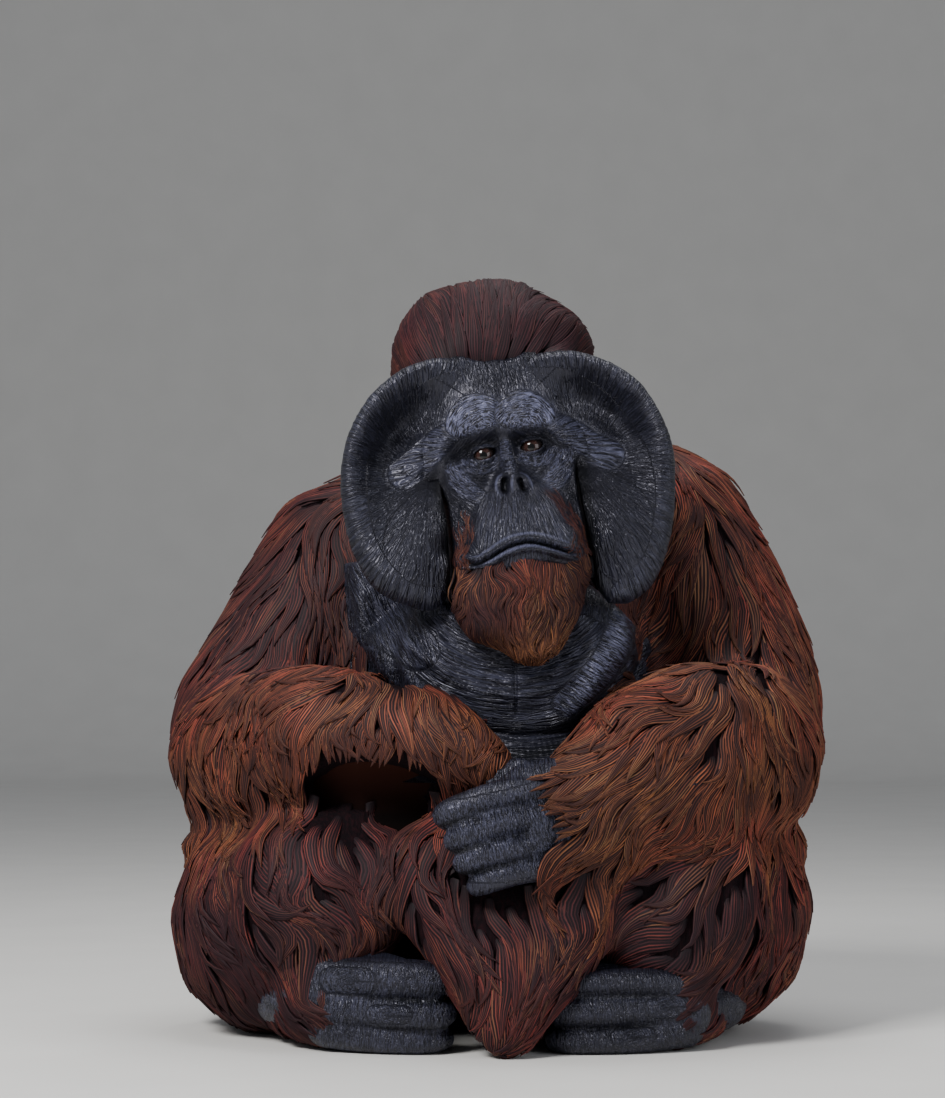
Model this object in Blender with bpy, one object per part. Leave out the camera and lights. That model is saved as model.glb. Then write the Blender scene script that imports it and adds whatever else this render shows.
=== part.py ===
"""Seated flanged male orangutan: a life-size painted casting.

Every named part of the body is one closed solid, sized out to the tips of the
sculpted coat. The parts are cut apart where they meet, so that they touch
across a gap and never overlap. Metres, +Z up; the animal looks along -Y and
its left side is on +X. The origin is on the flat underside of the rump. The
figure stands 0.89 m high, 0.80 m wide over the elbows and 0.74 m deep.
"""

from math import pi, radians

import bmesh
import bpy
import numpy as np
from mathutils import Matrix, Vector

MM = 0.001

# Driving dimensions
EYE_SPACING = 56 * MM       # pupil to pupil
EYES = Vector((12, -262, 681)) * MM     # midpoint between the eyes
HEAD_ROLL = radians(-10)    # crown leans to the animal's right
HEAD_TURN = radians(3)
LOIN_TOP = 300 * MM         # plane between rump and back
FINGER_RADIUS = 17 * MM
TOE_RADIUS = 20 * MM
GAP = 0.3 * MM              # clearance between parts that touch
FLOOR_SINK = 12 * MM        # how far a resting form runs below the floor before it is cut flat

# Smoothness of the faceted solids
LIMB_SIDES = 10
DIGIT_SIDES = 6
BALL_SIDES = 12
CAP_STEPS = (0.72,)         # where the rings of a rounded end stand, as shares of its length

# Colours (linear) with roughness
SKIN = ("bare_skin", (0.028, 0.031, 0.042), 0.45)
COAT = ("coat", (0.14, 0.032, 0.018), 0.62)
DARK_COAT = ("dark_coat", (0.075, 0.022, 0.022), 0.62)
BEARD = ("beard", (0.22, 0.072, 0.024), 0.6)
EYE = ("eye", (0.05, 0.018, 0.010), 0.12)

OBJECT_NAME = "orangutan_statue"


def head_frame():
    """Matrix from the head's upright frame (origin between the eyes) to the world."""
    turned = Matrix.Rotation(HEAD_ROLL, 4, "Y") @ Matrix.Rotation(HEAD_TURN, 4, "Z")
    return Matrix.Translation(EYES) @ turned


HEAD = head_frame()
BODY = Matrix.Identity(4)


def material(finish):
    name, colour, roughness = finish
    found = bpy.data.materials.get(name)
    if found:
        return found
    made = bpy.data.materials.new(name)
    made.use_nodes = True
    shader = made.node_tree.nodes["Principled BSDF"]
    shader.inputs["Base Color"].default_value = (*colour, 1.0)
    shader.inputs["Roughness"].default_value = roughness
    shader.inputs["Metallic"].default_value = 0.0
    return made


def new_part(name, mesh, finish, collection):
    part = bpy.data.objects.new(name, mesh)
    mesh.materials.append(material(finish))
    mesh.shade_smooth()
    mesh.set_sharp_from_angle(angle=radians(40))
    collection.objects.link(part)
    return part


def smooth_path(rows, count):
    """Even samples, at count places, of the smooth curve through the rows (Catmull-Rom)."""
    rows = np.asarray(rows, float)
    padded = np.vstack([2 * rows[0] - rows[1], rows, 2 * rows[-1] - rows[-2]])
    place = np.linspace(0, len(rows) - 1, count)
    start = np.minimum(place.astype(int), len(rows) - 2)
    t = (place - start)[:, None]
    before, here, after, beyond = (padded[start + step] for step in range(4))
    return 0.5 * (2 * here + (after - before) * t
                  + (2 * before - 5 * here + 4 * after - beyond) * t ** 2
                  + (3 * here - before - 3 * after + beyond) * t ** 3)


def finished_mesh(name, bm):
    """Mesh of flat triangles with its faces turned outwards."""
    bmesh.ops.recalc_face_normals(bm, faces=bm.faces)
    bmesh.ops.triangulate(bm, faces=bm.faces)
    mesh = bpy.data.meshes.new(name)
    bm.to_mesh(mesh)
    bm.free()
    return mesh


def ringed_mesh(name, rings, first_pole, last_pole, frame):
    """Closed skin over a stack of rings, with a fan of triangles to a pole at each end."""
    count, sides = rings.shape[:2]
    bm = bmesh.new()
    grid = [[bm.verts.new(frame @ Vector(point)) for point in ring] for ring in rings]
    poles = [bm.verts.new(frame @ Vector(point)) for point in (first_pole, last_pole)]
    for j in range(sides):
        k = (j + 1) % sides
        bm.faces.new((poles[0], grid[0][k], grid[0][j]))
        bm.faces.new((poles[1], grid[-1][j], grid[-1][k]))
        for i in range(count - 1):
            bm.faces.new((grid[i][j], grid[i][k], grid[i + 1][k], grid[i + 1][j]))
    return finished_mesh(name, bm)


def loft(name, stations, sides=LIMB_SIDES, rings=6, up=(0, 0, 1), bluntness=0.8, frame=BODY):
    """Rounded tube through stations (x, y, z, half width, half height), in millimetres.

    Each ring is an ellipse square to the path. The width runs level, the height
    towards `up`, and the ends are domed by `bluntness` times their radius.
    """
    rows = smooth_path(stations, rings) * MM
    centre, half = rows[:, :3], rows[:, 3:]
    along = np.gradient(centre, axis=0)
    along /= np.linalg.norm(along, axis=1)[:, None]
    side = np.cross(along, up)
    side /= np.linalg.norm(side, axis=1)[:, None]
    lift = np.cross(side, along)
    angle = np.arange(sides) * 2 * pi / sides
    circle = np.stack([np.cos(angle), np.sin(angle)])
    body = (centre[:, None]
            + side[:, None] * (half[:, :1] * circle[0])[..., None]
            + lift[:, None] * (half[:, 1:] * circle[1])[..., None])
    stack = list(body)
    poles = []
    for end, sign in ((0, -1), (-1, 1)):
        dome = bluntness * half[end].min() * sign * along[end]
        caps = [centre[end] + dome * step + (body[end] - centre[end]) * (1 - step ** 2) ** 0.5
                for step in CAP_STEPS]
        poles.append(centre[end] + dome)
        stack = caps[::-1] + stack if end == 0 else stack + caps
    return ringed_mesh(name, np.array(stack), poles[0], poles[1], frame)


def ball(name, centre, radii, frame=BODY, sides=BALL_SIDES):
    """Ellipsoid from its centre and radii in millimetres."""
    bm = bmesh.new()
    place = (frame @ Matrix.Translation(Vector(centre) * MM)
             @ Matrix.Diagonal((*(Vector(radii) * MM), 1.0)))
    bmesh.ops.create_uvsphere(bm, u_segments=sides, v_segments=sides // 2 + 1,
                              radius=1.0, matrix=place)
    return finished_mesh(name, bm)


# Section of a cheek flange from the pole at its back to the pole in its dish:
# (share of the outline's radius, depth towards the back in millimetres)
FLANGE_SECTION = ((0.72, 46), (1.0, 14), (0.98, -16), (0.86, -27), (0.58, -2))
FLANGE_BACK = 52            # depth of the pole at the back
FLANGE_DISH = 12            # depth of the pole in the dish
FLANGE_SWEEP = 0.10         # how far back the plate leans for each unit outwards
FLANGE_ROOT = 24            # depth at least where the plate's inner side meets the face
FLANGE_SIDES = 12


def flange(name, side, centre, reach):
    """Dished cheek plate with a rolled rim, in the head's frame.

    `reach` is (outer, inner, up, down) in millimetres. The outline is four
    quarter ellipses; the section is turned along it; the plate fans backwards
    towards its outer edge, and its rim fades out on the side of the face.
    """
    outer, inner, up, down = reach
    angle = np.arange(FLANGE_SIDES) * 2 * pi / FLANGE_SIDES
    width = np.where(np.cos(angle) > 0, outer, inner) * np.cos(angle)
    height = np.where(np.sin(angle) > 0, up, down) * np.sin(angle)
    inward = np.clip(-0.6 - 1.8 * np.cos(angle), 0, 1)

    def ring(share, depth):
        x = share * width
        y = depth + FLANGE_SWEEP * np.abs(x) + inward * max(0, FLANGE_ROOT - depth)
        return np.stack([side * x, y, share * height], axis=1) * MM + np.array(centre) * MM

    rings = np.array([ring(*row) for row in FLANGE_SECTION])
    poles = [Vector((centre[0], centre[1] + depth, centre[2])) * MM
             for depth in (FLANGE_BACK, FLANGE_DISH)]
    return ringed_mesh(name, rings, poles[0], poles[1], HEAD)


def head_parts():
    """Crown, brow, face, muzzle, beard, flanges, ears and eyes, in the head's frame."""
    eye = EYE_SPACING / MM / 2
    yield "eye_right", ball("eye_right", (-eye, 9, -3), (13, 13, 13), HEAD, 8), EYE
    yield "eye_left", ball("eye_left", (eye, 9, -3), (13, 13, 13), HEAD, 8), EYE
    brow = [(-94, 44, -8, 15, 15), (-82, 26, 28, 17, 17), (-57, 6, 45, 18, 19), (-30, 1, 49, 18, 22),
            (-2, 3, 46, 17, 20), (24, 1, 43, 18, 21), (50, 6, 33, 18, 18), (76, 26, 9, 17, 17),
            (88, 44, -22, 15, 15)]
    yield "brow", loft("brow", brow, sides=6, rings=8, frame=HEAD), SKIN
    muzzle = [(-3, 60, -62, 74, 52), (-4, 10, -76, 78, 56), (-6, -28, -90, 71, 46),
              (-7, -48, -96, 54, 34)]
    yield "muzzle", loft("muzzle", muzzle, sides=8, rings=4, bluntness=0.45, frame=HEAD), SKIN
    beard = [(-5, 4, -118, 80, 62), (-11, -2, -158, 75, 52), (-13, -8, -198, 56, 38),
             (-8, -14, -227, 30, 22)]
    yield "beard", loft("beard", beard, sides=8, rings=4, up=(0, 1, 0), bluntness=0.9, frame=HEAD), BEARD
    yield "flange_right", flange("flange_right", -1, (-78, 0, -17), (127, 50, 139, 143)), SKIN
    yield "flange_left", flange("flange_left", 1, (74, 0, -34), (112, 44, 142, 161)), SKIN
    face = [(2, 92, 112, 92, 66), (0, 76, 74, 94, 68), (-2, 74, 26, 92, 70), (-3, 76, -20, 86, 70),
            (-5, 78, -80, 82, 72), (-6, 80, -140, 76, 70)]
    yield "head", loft("head", face, sides=10, rings=4, up=(0, 1, 0), bluntness=0.5, frame=HEAD), SKIN
    crown = [(2, 116, 70, 124, 100), (3, 108, 108, 126, 112), (4, 110, 144, 114, 106),
             (5, 112, 178, 86, 80)]
    yield "crown", loft("crown", crown, rings=4, up=(0, 1, 0), bluntness=0.45, frame=HEAD), DARK_COAT
    for name, side in (("ear_right", -1), ("ear_left", 1)):
        yield name, ball(name, (side * 126, 112, -8), (11, 24, 30), HEAD, 8), SKIN
    nape = [(0, 120, 70, 124, 112), (0, 132, 0, 120, 112), (0, 140, -70, 128, 110)]
    yield "nape", loft("nape", nape, sides=7, rings=3, up=(0, 1, 0), frame=HEAD), DARK_COAT


def digit(name, knuckle, bend, tip, radius):
    """Finger or toe bent at its middle joint."""
    thin = 0.82 * radius
    rows = [(*knuckle, radius, radius), (*bend, radius, radius), (*tip, thin, thin)]
    return loft(name, rows, sides=DIGIT_SIDES, rings=3, up=(0.1, 0.2, 1), bluntness=0.9)


FOREARMS = {
    "forearm_left": [(304, -62, 342, 94, 94), (290, -150, 330, 98, 114), (230, -226, 322, 92, 124),
                     (152, -280, 294, 76, 110), (94, -318, 262, 60, 84), (66, -330, 256, 48, 68)],
    "forearm_right": [(-308, -62, 325, 96, 92), (-264, -150, 335, 92, 98), (-194, -222, 352, 80, 88),
                      (-112, -262, 348, 68, 73), (-52, -288, 338, 54, 60), (-6, -306, 318, 30, 36)],
}
UPPER_ARMS = {
    "upper_arm_left": [(190, 48, 606, 126, 126), (238, 28, 532, 122, 116), (284, -10, 438, 110, 108),
                       (304, -50, 362, 101, 100)],
    "upper_arm_right": [(-162, 50, 566, 127, 126), (-208, 30, 500, 123, 116), (-260, -10, 418, 112, 108),
                        (-308, -50, 352, 102, 98)],
}
THIGHS = {
    "thigh_left": [(110, 80, 112, 118, 112), (190, 5, 140, 132, 146), (250, -82, 148, 142, 154),
                   (258, -165, 154, 116, 140)],
    "thigh_right": [(-105, 80, 108, 118, 108), (-192, 5, 130, 134, 138), (-262, -82, 130, 148, 146),
                    (-262, -165, 142, 116, 132)],
}
SHINS = {
    "shin_left": [(214, -214, 214, 116, 84), (204, -244, 160, 112, 82), (190, -256, 112, 96, 68)],
    "shin_right": [(-204, -214, 208, 116, 84), (-198, -244, 164, 112, 80), (-184, -254, 124, 98, 66)],
}
FEET = {
    "foot_left": [(244, -176, 34, 36, 34), (226, -240, 42, 44, 42), (198, -284, 44, 40, 45)],
    "foot_right": [(-240, -176, 38, 36, 38), (-220, -240, 54, 44, 54), (-184, -288, 58, 40, 58)],
}


def left_hand_parts():
    """The left hand, which lies over the right wrist."""
    palm = [(92, -336, 256, 24, 50), (60, -356, 256, 24, 68), (22, -366, 250, 21, 68),
            (2, -368, 247, 16, 58)]
    yield "hand_left", loft("hand_left", palm, rings=4, bluntness=0.5), SKIN
    radius = FINGER_RADIUS / MM
    rows = ((294, 270, -70), (262, 243, -66), (230, 217, -54), (204, 194, -40))
    for i, (knuckle_z, bend_z, reach) in enumerate(rows, 1):
        name = f"finger_left_{i}"
        mesh = digit(name, (20, -370, knuckle_z), (reach + 14, -374, bend_z),
                     (reach + 2, -350, bend_z - 6), radius - 0.6 * i)
        yield name, mesh, SKIN
    yield "thumb_left", digit("thumb_left", (46, -338, 214), (14, -346, 190), (-8, -342, 176), 12), SKIN


def right_hand_parts():
    """The right hand, tucked in behind the left one."""
    palm = [(-22, -300, 316, 24, 30), (6, -318, 296, 22, 36), (24, -328, 268, 15, 34)]
    yield "hand_right", loft("hand_right", palm, sides=8, rings=3, bluntness=0.5), SKIN
    for i in range(4):
        name = f"finger_right_{i + 1}"
        x = 2 + 13 * i
        mesh = digit(name, (x + 4, -328, 250), (x - 4, -328, 222 - 4 * i), (x - 6, -320, 204 - 5 * i),
                     10.5)
        yield name, mesh, SKIN
    yield "thumb_right", digit("thumb_right", (2, -316, 322), (26, -330, 322), (44, -334, 312), 11), SKIN


def arm_parts():
    for group, rings in ((FOREARMS, 6), (UPPER_ARMS, 4)):
        for name, stations in group.items():
            yield name, loft(name, stations, rings=rings), COAT


def lap_parts():
    """Coat that hangs from the lap to the floor between the feet."""
    lobe = [(14, -270, 220, 178, 58), (14, -300, 160, 142, 60), (14, -326, 86, 92, 46),
            (8, -346, 26, 42, 28)]
    yield "lap_coat", loft("lap_coat", lobe, sides=8, up=(0, 1, 0), rings=5, bluntness=1.0), DARK_COAT


def leg_parts():
    """Feet with their toes, shins and thighs."""
    for name, stations in FEET.items():
        yield name, loft(name, stations, sides=8, rings=4, bluntness=0.6), SKIN
    for side, mirror, height in (("left", 1, 0.86), ("right", -1, 1.0)):
        for i, (z, back, reach) in enumerate(((87, 0, 58), (49, 0, 56), (18, 4, 64), (16, 38, 90)), 1):
            name = f"toe_{side}_{i}"
            radius = TOE_RADIUS / MM * (1.08 if i == 1 else 0.92) * (0.5 + height / 2)
            mesh = digit(name, (mirror * 176, back - 312, z * height), (mirror * 104, back - 326, z * height),
                         (mirror * reach, back - 318, z * height - 3), radius)
            yield name, mesh, SKIN
        name = f"big_toe_{side}"
        mesh = digit(name, (mirror * 196, -256, 66), (mirror * 146, -262, 60), (mirror * 120, -268, 56), 18)
        yield name, mesh, SKIN
    for name, stations in SHINS.items():
        yield name, loft(name, stations, sides=8, up=(0, 1, 0), rings=3), DARK_COAT
    for name, stations in THIGHS.items():
        yield name, loft(name, stations, rings=4), DARK_COAT


TRUNK = [(5, 92, -FLOOR_SINK / MM, 240, 220), (5, 92, 90, 292, 256), (5, 84, 220, 282, 262),
         (5, 78, 350, 250, 258), (4, 68, 470, 232, 240), (2, 60, 590, 224, 206), (2, 66, 684, 184, 150)]


def between(name, mesh, low, high):
    """Copy of a closed mesh kept between two level planes, its cuts filled."""
    bm = bmesh.new()
    bm.from_mesh(mesh)
    for height, normal in ((low, (0, 0, -1)), (high, (0, 0, 1))):
        if height is None:
            continue
        cut = bmesh.ops.bisect_plane(bm, geom=bm.verts[:] + bm.edges[:] + bm.faces[:],
                                     plane_co=(0, 0, height), plane_no=normal, clear_outer=True)
        rim = [item for item in cut["geom_cut"] if isinstance(item, bmesh.types.BMEdge)]
        bmesh.ops.edgeloop_fill(bm, edges=rim)
    return finished_mesh(name, bm)


def trunk_parts():
    """Throat sac, neck, chest, belly and the trunk, which is parted by a level cut."""
    yield "throat_sac", ball("throat_sac", (24, -186, 446), (150, 92, 108), sides=10), SKIN
    neck = [(8, -110, 640, 128, 104), (4, -40, 590, 140, 124), (2, 20, 560, 150, 130)]
    yield "neck", loft("neck", neck, sides=7, rings=3), DARK_COAT
    yield "chest", ball("chest", (5, -84, 424), (198, 134, 134), sides=8), SKIN
    yield "belly", ball("belly", (5, -110, 262), (150, 140, 120), sides=8), DARK_COAT
    whole = loft("trunk", TRUNK, sides=12, rings=6, up=(0, 1, 0), bluntness=0.42)
    half = GAP / 2
    yield "back", between("back", whole, LOIN_TOP + half, None), COAT
    yield "rump", between("rump", whole, None, LOIN_TOP - half), DARK_COAT


def swollen_copy(mesh):
    """Cutter: the mesh moved out by the gap along its normals."""
    bm = bmesh.new()
    bm.from_mesh(mesh)
    bm.normal_update()
    moves = [vert.normal * GAP * vert.calc_shell_factor() for vert in bm.verts]
    for vert, move in zip(bm.verts, moves):
        vert.co += move
    cutter = bpy.data.meshes.new(mesh.name + "_cutter")
    bm.to_mesh(cutter)
    bm.free()
    return cutter


def corners(mesh):
    points = np.array([vert.co for vert in mesh.vertices])
    return points.min(0), points.max(0)


def overlap(one, other):
    (low_a, high_a), (low_b, high_b) = one, other
    return bool((low_a < high_b).all() and (low_b < high_a).all())


def carve(part, cutters, collection):
    """Cut the part by each swollen neighbour and keep its largest piece."""
    for mesh in cutters:
        tool = bpy.data.objects.new(mesh.name, mesh)
        tool.hide_render = True
        tool.display_type = "WIRE"
        collection.objects.link(tool)
        cut = part.modifiers.new("cut", "BOOLEAN")
        cut.operation, cut.solver, cut.object = "DIFFERENCE", "EXACT", tool
    settled = bpy.data.meshes.new_from_object(
        part.evaluated_get(bpy.context.evaluated_depsgraph_get()))
    part.modifiers.clear()
    keep_largest(settled)
    part.data = settled


def keep_largest(mesh):
    bm = bmesh.new()
    bm.from_mesh(mesh)
    bmesh.ops.remove_doubles(bm, verts=bm.verts, dist=0.01 * MM)
    unseen = set(bm.verts)
    groups = []
    while unseen:
        group, edge = set(), [unseen.pop()]
        while edge:
            vert = edge.pop()
            group.add(vert)
            near = [link.other_vert(vert) for link in vert.link_edges]
            fresh = [other for other in near if other in unseen]
            unseen.difference_update(fresh)
            edge.extend(fresh)
        groups.append(group)
    groups.sort(key=len)
    bmesh.ops.delete(bm, geom=[vert for group in groups[:-1] for vert in group], context="VERTS")
    bm.to_mesh(mesh)
    bm.free()


def settle_on_floor(part):
    """Cut flat at the floor whatever reaches below it."""
    low = min(vert.co.z for vert in part.data.vertices)
    if low < 0:
        name = part.data.name
        part.data = between(name, part.data, 0.0, None)


# Each part is cut by all that come before it
BUILD_ORDER = (head_parts, arm_parts, left_hand_parts, lap_parts, right_hand_parts, leg_parts, trunk_parts)


def main():
    for old in list(bpy.data.objects):
        bpy.data.objects.remove(old, do_unlink=True)
    parts_collection = bpy.data.collections.new(OBJECT_NAME)
    cutter_collection = bpy.data.collections.new("cutters")
    for collection in (parts_collection, cutter_collection):
        bpy.context.scene.collection.children.link(collection)
    earlier = []
    for source in BUILD_ORDER:
        for name, mesh, finish in source():
            box = corners(mesh)
            cutters = [cutter for cutter, other in earlier if overlap(box, other)]
            earlier.append((swollen_copy(mesh), box))
            part = new_part(name, mesh, finish, parts_collection)
            carve(part, cutters, cutter_collection)
            settle_on_floor(part)


main()
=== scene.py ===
"""Looks of the seated orangutan statue: a painted life-size casting.

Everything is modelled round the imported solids, in their frame: metres, +Z up, the
animal looks along -Y and its left side is on +X. Sizes in the tables are in
millimetres. The bare skin is one smooth surface under the coat; the coat is
sculpted locks with ridged strands that follow the comb guides.
"""

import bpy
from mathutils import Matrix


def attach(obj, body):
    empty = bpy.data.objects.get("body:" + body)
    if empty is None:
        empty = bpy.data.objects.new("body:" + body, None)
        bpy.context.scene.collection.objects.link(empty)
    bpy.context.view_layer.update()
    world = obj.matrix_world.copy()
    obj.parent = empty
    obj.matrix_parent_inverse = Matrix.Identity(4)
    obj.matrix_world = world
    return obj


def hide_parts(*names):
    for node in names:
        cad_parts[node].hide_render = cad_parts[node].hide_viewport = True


bl_info = {
    "name": "Seated orangutan statue",
    "version": (1, 0, 0),
    "blender": (4, 5, 0),
    "location": "3D View > Sidebar > Orangutan",
    "description": "Skin, eyes and sculpted coat of a painted life-size orangutan casting",
    "category": "Add Mesh",
}

from collections import namedtuple
from math import cos, pi, radians, sin

import bpy
import numpy as np
from bpy.props import FloatProperty, FloatVectorProperty, IntProperty, PointerProperty
from mathutils import Matrix, Vector

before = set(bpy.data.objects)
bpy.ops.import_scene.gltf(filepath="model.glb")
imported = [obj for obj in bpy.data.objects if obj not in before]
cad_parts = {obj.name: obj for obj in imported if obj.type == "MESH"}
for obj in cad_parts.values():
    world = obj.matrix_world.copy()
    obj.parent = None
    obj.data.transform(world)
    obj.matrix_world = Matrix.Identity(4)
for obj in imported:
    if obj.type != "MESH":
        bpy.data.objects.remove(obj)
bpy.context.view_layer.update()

MM = 0.001

# Head frame: origin between the eyes, x to the animal's left, y back, z up
EYES = Vector((12, -262, 681)) * MM
HEAD_ROLL = radians(-10)
HEAD_TURN = radians(3)
HEAD = (Matrix.Translation(EYES) @ Matrix.Rotation(HEAD_ROLL, 4, "Y")
        @ Matrix.Rotation(HEAD_TURN, 4, "Z"))

HEAD_NODES = ("head", "brow", "muzzle", "flange_left", "flange_right", "ear_left", "ear_right")
DIGITS = range(1, 5)
HAND_NODES_LEFT = ("hand_left", "thumb_left", *(f"finger_left_{i}" for i in DIGITS))
HAND_NODES_RIGHT = ("hand_right", "thumb_right", *(f"finger_right_{i}" for i in DIGITS))
FOOT_NODES_LEFT = ("foot_left", "big_toe_left", *(f"toe_left_{i}" for i in DIGITS))
FOOT_NODES_RIGHT = ("foot_right", "big_toe_right", *(f"toe_right_{i}" for i in DIGITS))
BODY_NODES = ("crown", "nape", "neck", "back", "rump", "belly", "chest", "throat_sac", "beard",
              "upper_arm_left", "upper_arm_right", "forearm_left", "forearm_right",
              "thigh_left", "thigh_right", "shin_left", "shin_right", "lap_coat")
BARE_NODES = ("throat_sac", "chest", "beard")       # covered by skins of their own
TOP_OF_FEET = ("foot_left", "foot_right")           # under the hair of the lap

# Voxel in metres and rounds of smoothing of each surface
HULL_FINENESS = (0.008, 26)
BEARD_FINENESS = (0.005, 14)
BODY_FINENESS = (0.010, 4)
TORSO_FINENESS = (0.006, 14)
LIMB_FINENESS = (0.0025, 9)
PLAIN_HAND_FINENESS = (0.0025, 40)

AS_COLOUR = {"size": 3, "subtype": "COLOR", "min": 0, "max": 1}


class StatueSizes(bpy.types.PropertyGroup):
    """Sizes that a user would change."""
    coat_depth: FloatProperty(name="Coat depth", description="How deep the skin lies under the coat's tips",
                              default=0.009, min=0.002, max=0.03, unit="LENGTH")
    strand_pitch: FloatProperty(name="Strand pitch", description="Distance between the ridges of a lock",
                                default=0.0034, min=0.001, max=0.01, unit="LENGTH")
    wrinkle_depth: FloatProperty(name="Wrinkle depth", default=0.0010, min=0.0, max=0.004, unit="LENGTH",
                                 description="Height of a wrinkle whose own depth is one")
    seed: IntProperty(name="Seed", description="Start of the random spread of the locks", default=7)


class StatueColours(bpy.types.PropertyGroup):
    """Paints of the casting."""
    skin: FloatVectorProperty(name="Skin", description="Blue-black ground coat of the bare skin",
                              default=(0.0048, 0.0051, 0.0098), **AS_COLOUR)
    # Pale dry-brush on the wrinkles' crests, which is partly painted highlight there
    skin_lit: FloatVectorProperty(name="Skin dry-brush", default=(0.17, 0.178, 0.29), **AS_COLOUR,
                                  description="Pale paint caught by the wrinkles' crests")
    groove: FloatVectorProperty(name="Coat groove", description="Dark ground coat between the strands",
                                default=(0.009, 0.005, 0.007), **AS_COLOUR)
    brown: FloatVectorProperty(name="Coat brown", description="Warm body colour of the coat",
                               default=(0.110, 0.036, 0.020), **AS_COLOUR)
    purple: FloatVectorProperty(name="Coat purple", description="Cool body colour of the coat",
                                default=(0.036, 0.012, 0.0165), **AS_COLOUR)
    red: FloatVectorProperty(name="Coat red", description="Red dry-brush on the strands",
                             default=(0.37, 0.062, 0.048), **AS_COLOUR)
    orange: FloatVectorProperty(name="Coat orange", description="Orange-tan dry-brush on the strands",
                                default=(0.37, 0.145, 0.052), **AS_COLOUR)
    olive: FloatVectorProperty(name="Coat olive", description="Olive-tan dry-brush on single strands",
                               default=(0.19, 0.115, 0.055), **AS_COLOUR)
    iris: FloatVectorProperty(name="Iris", description="Reddish brown of the iris",
                              default=(0.038, 0.015, 0.012), **AS_COLOUR)
    floor: FloatVectorProperty(name="Floor", description="Pale studio floor",
                               default=(0.72, 0.71, 0.69), **AS_COLOUR)


def in_head(points):
    """Points of the head's frame, in millimetres, as world points in metres."""
    turn = np.array(HEAD.to_3x3())
    return np.asarray(points) * MM @ turn.T + np.array(HEAD.translation)


def from_head(points):
    """World points in metres as points of the head's frame, in millimetres."""
    return (points - np.array(HEAD.translation)) @ np.array(HEAD.to_3x3()) / MM


def smoothstep(low, high, value):
    """0 below low, 1 above high, with the curve 3t² - 2t³ between."""
    t = np.clip((value - low) / (high - low), 0, 1)
    return t * t * (3 - 2 * t)


def noise(points, seed=0):
    """Smooth value noise in -1..1: hashed numbers on the unit lattice, blended by 3t² - 2t³."""
    points = np.asarray(points, float)
    cell = np.floor(points).astype(np.int64)
    t = points - cell
    t = t * t * (3 - 2 * t)
    total = np.zeros(points.shape[:-1])
    for corner in np.ndindex(*(2,) * points.shape[-1]):
        at = cell + corner
        mixed = (at * (73856093, 19349663, 83492791)[:points.shape[-1]]).sum(-1) + seed * 40503
        mixed = (mixed ^ (mixed >> 13)) * 1274126177 & 0xFFFFFFFF
        mixed = (mixed ^ (mixed >> 15)) * 2246822519 & 0xFFFFFFFF
        value = ((mixed >> 9) & 0xFFFF) / 32767.5 - 1
        total += value * np.where(corner, t, 1 - t).prod(-1)
    return total


def wrinkle(across, along, spacing, length, seed=0):
    """Broken parallel creases, 1 on the crests and 0 in the creases.

    The square root of the size of a noise that is `spacing` wide across the creases and `length` long
    along them, so that the creases are narrow and the skin between them is round.
    """
    bend = 0.35 * noise(np.stack([across, along], -1) / (4 * spacing), seed + 5)
    first = noise(np.stack([across / spacing + bend, along / length], -1), seed)
    second = noise(np.stack([across / spacing * 1.9 + bend, along / length * 1.4], -1), seed + 9)
    return np.clip(np.abs(first + 0.35 * second) * 1.6, 0, 1) ** 0.5


def smooth_path(rows, count):
    """Even samples of the smooth curve through the rows (Catmull-Rom)."""
    rows = np.asarray(rows, float)
    padded = np.vstack([2 * rows[0] - rows[1], rows, 2 * rows[-1] - rows[-2]])
    place = np.linspace(0, len(rows) - 1, count)
    start = np.minimum(place.astype(int), len(rows) - 2)
    t = (place - start)[:, None]
    before, here, after, beyond = (padded[start + step] for step in range(4))
    return 0.5 * (2 * here + (after - before) * t
                  + (2 * before - 5 * here + 4 * after - beyond) * t ** 2
                  + (3 * here - before - 3 * after + beyond) * t ** 3)


def unit(vectors):
    """Vectors of length one."""
    return vectors / np.maximum(np.linalg.norm(vectors, axis=-1, keepdims=True), 1e-12)


def grid_faces(rows, columns, wrap=False):
    """Corners of the four-sided cells of a grid whose points are numbered along its rows."""
    i = np.arange(rows - 1)[:, None]
    j = np.arange(columns if wrap else columns - 1)[None]
    k = (j + 1) % columns
    cells = np.stack([i * columns + j, i * columns + k, (i + 1) * columns + k, (i + 1) * columns + j], -1)
    return cells.reshape(-1, 4)


def new_mesh(name, points, quads, triangles=()):
    """Mesh from whole arrays of points, four-sided faces and triangles."""
    quads = np.asarray(quads, np.int32).reshape(-1, 4)
    triangles = np.asarray(triangles, np.int32).reshape(-1, 3)
    sides = np.concatenate([np.full(len(quads), 4), np.full(len(triangles), 3)])
    starts = np.cumsum(sides) - sides
    corners = np.concatenate([quads.ravel(), triangles.ravel()])
    mesh = bpy.data.meshes.new(name)
    mesh.vertices.add(len(points))
    mesh.vertices.foreach_set("co", np.asarray(points, np.float32).ravel())
    mesh.loops.add(len(corners))
    mesh.loops.foreach_set("vertex_index", corners.astype(np.int32))
    mesh.polygons.add(len(sides))
    mesh.polygons.foreach_set("loop_start", starts.astype(np.int32))
    mesh.update(calc_edges=True)
    mesh.shade_smooth()
    return mesh


def vectors_of(items, field):
    """One three-part field of a mesh's items as an array."""
    flat = np.empty(len(items) * 3, np.float32)
    items.foreach_get(field, flat)
    return flat.reshape(-1, 3).astype(float)


def mesh_points(mesh):
    """Places of a mesh's points."""
    return vectors_of(mesh.vertices, "co")


def move_points(mesh, points):
    """Give a mesh's points new places."""
    mesh.vertices.foreach_set("co", points.astype(np.float32).ravel())
    mesh.update()


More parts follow.
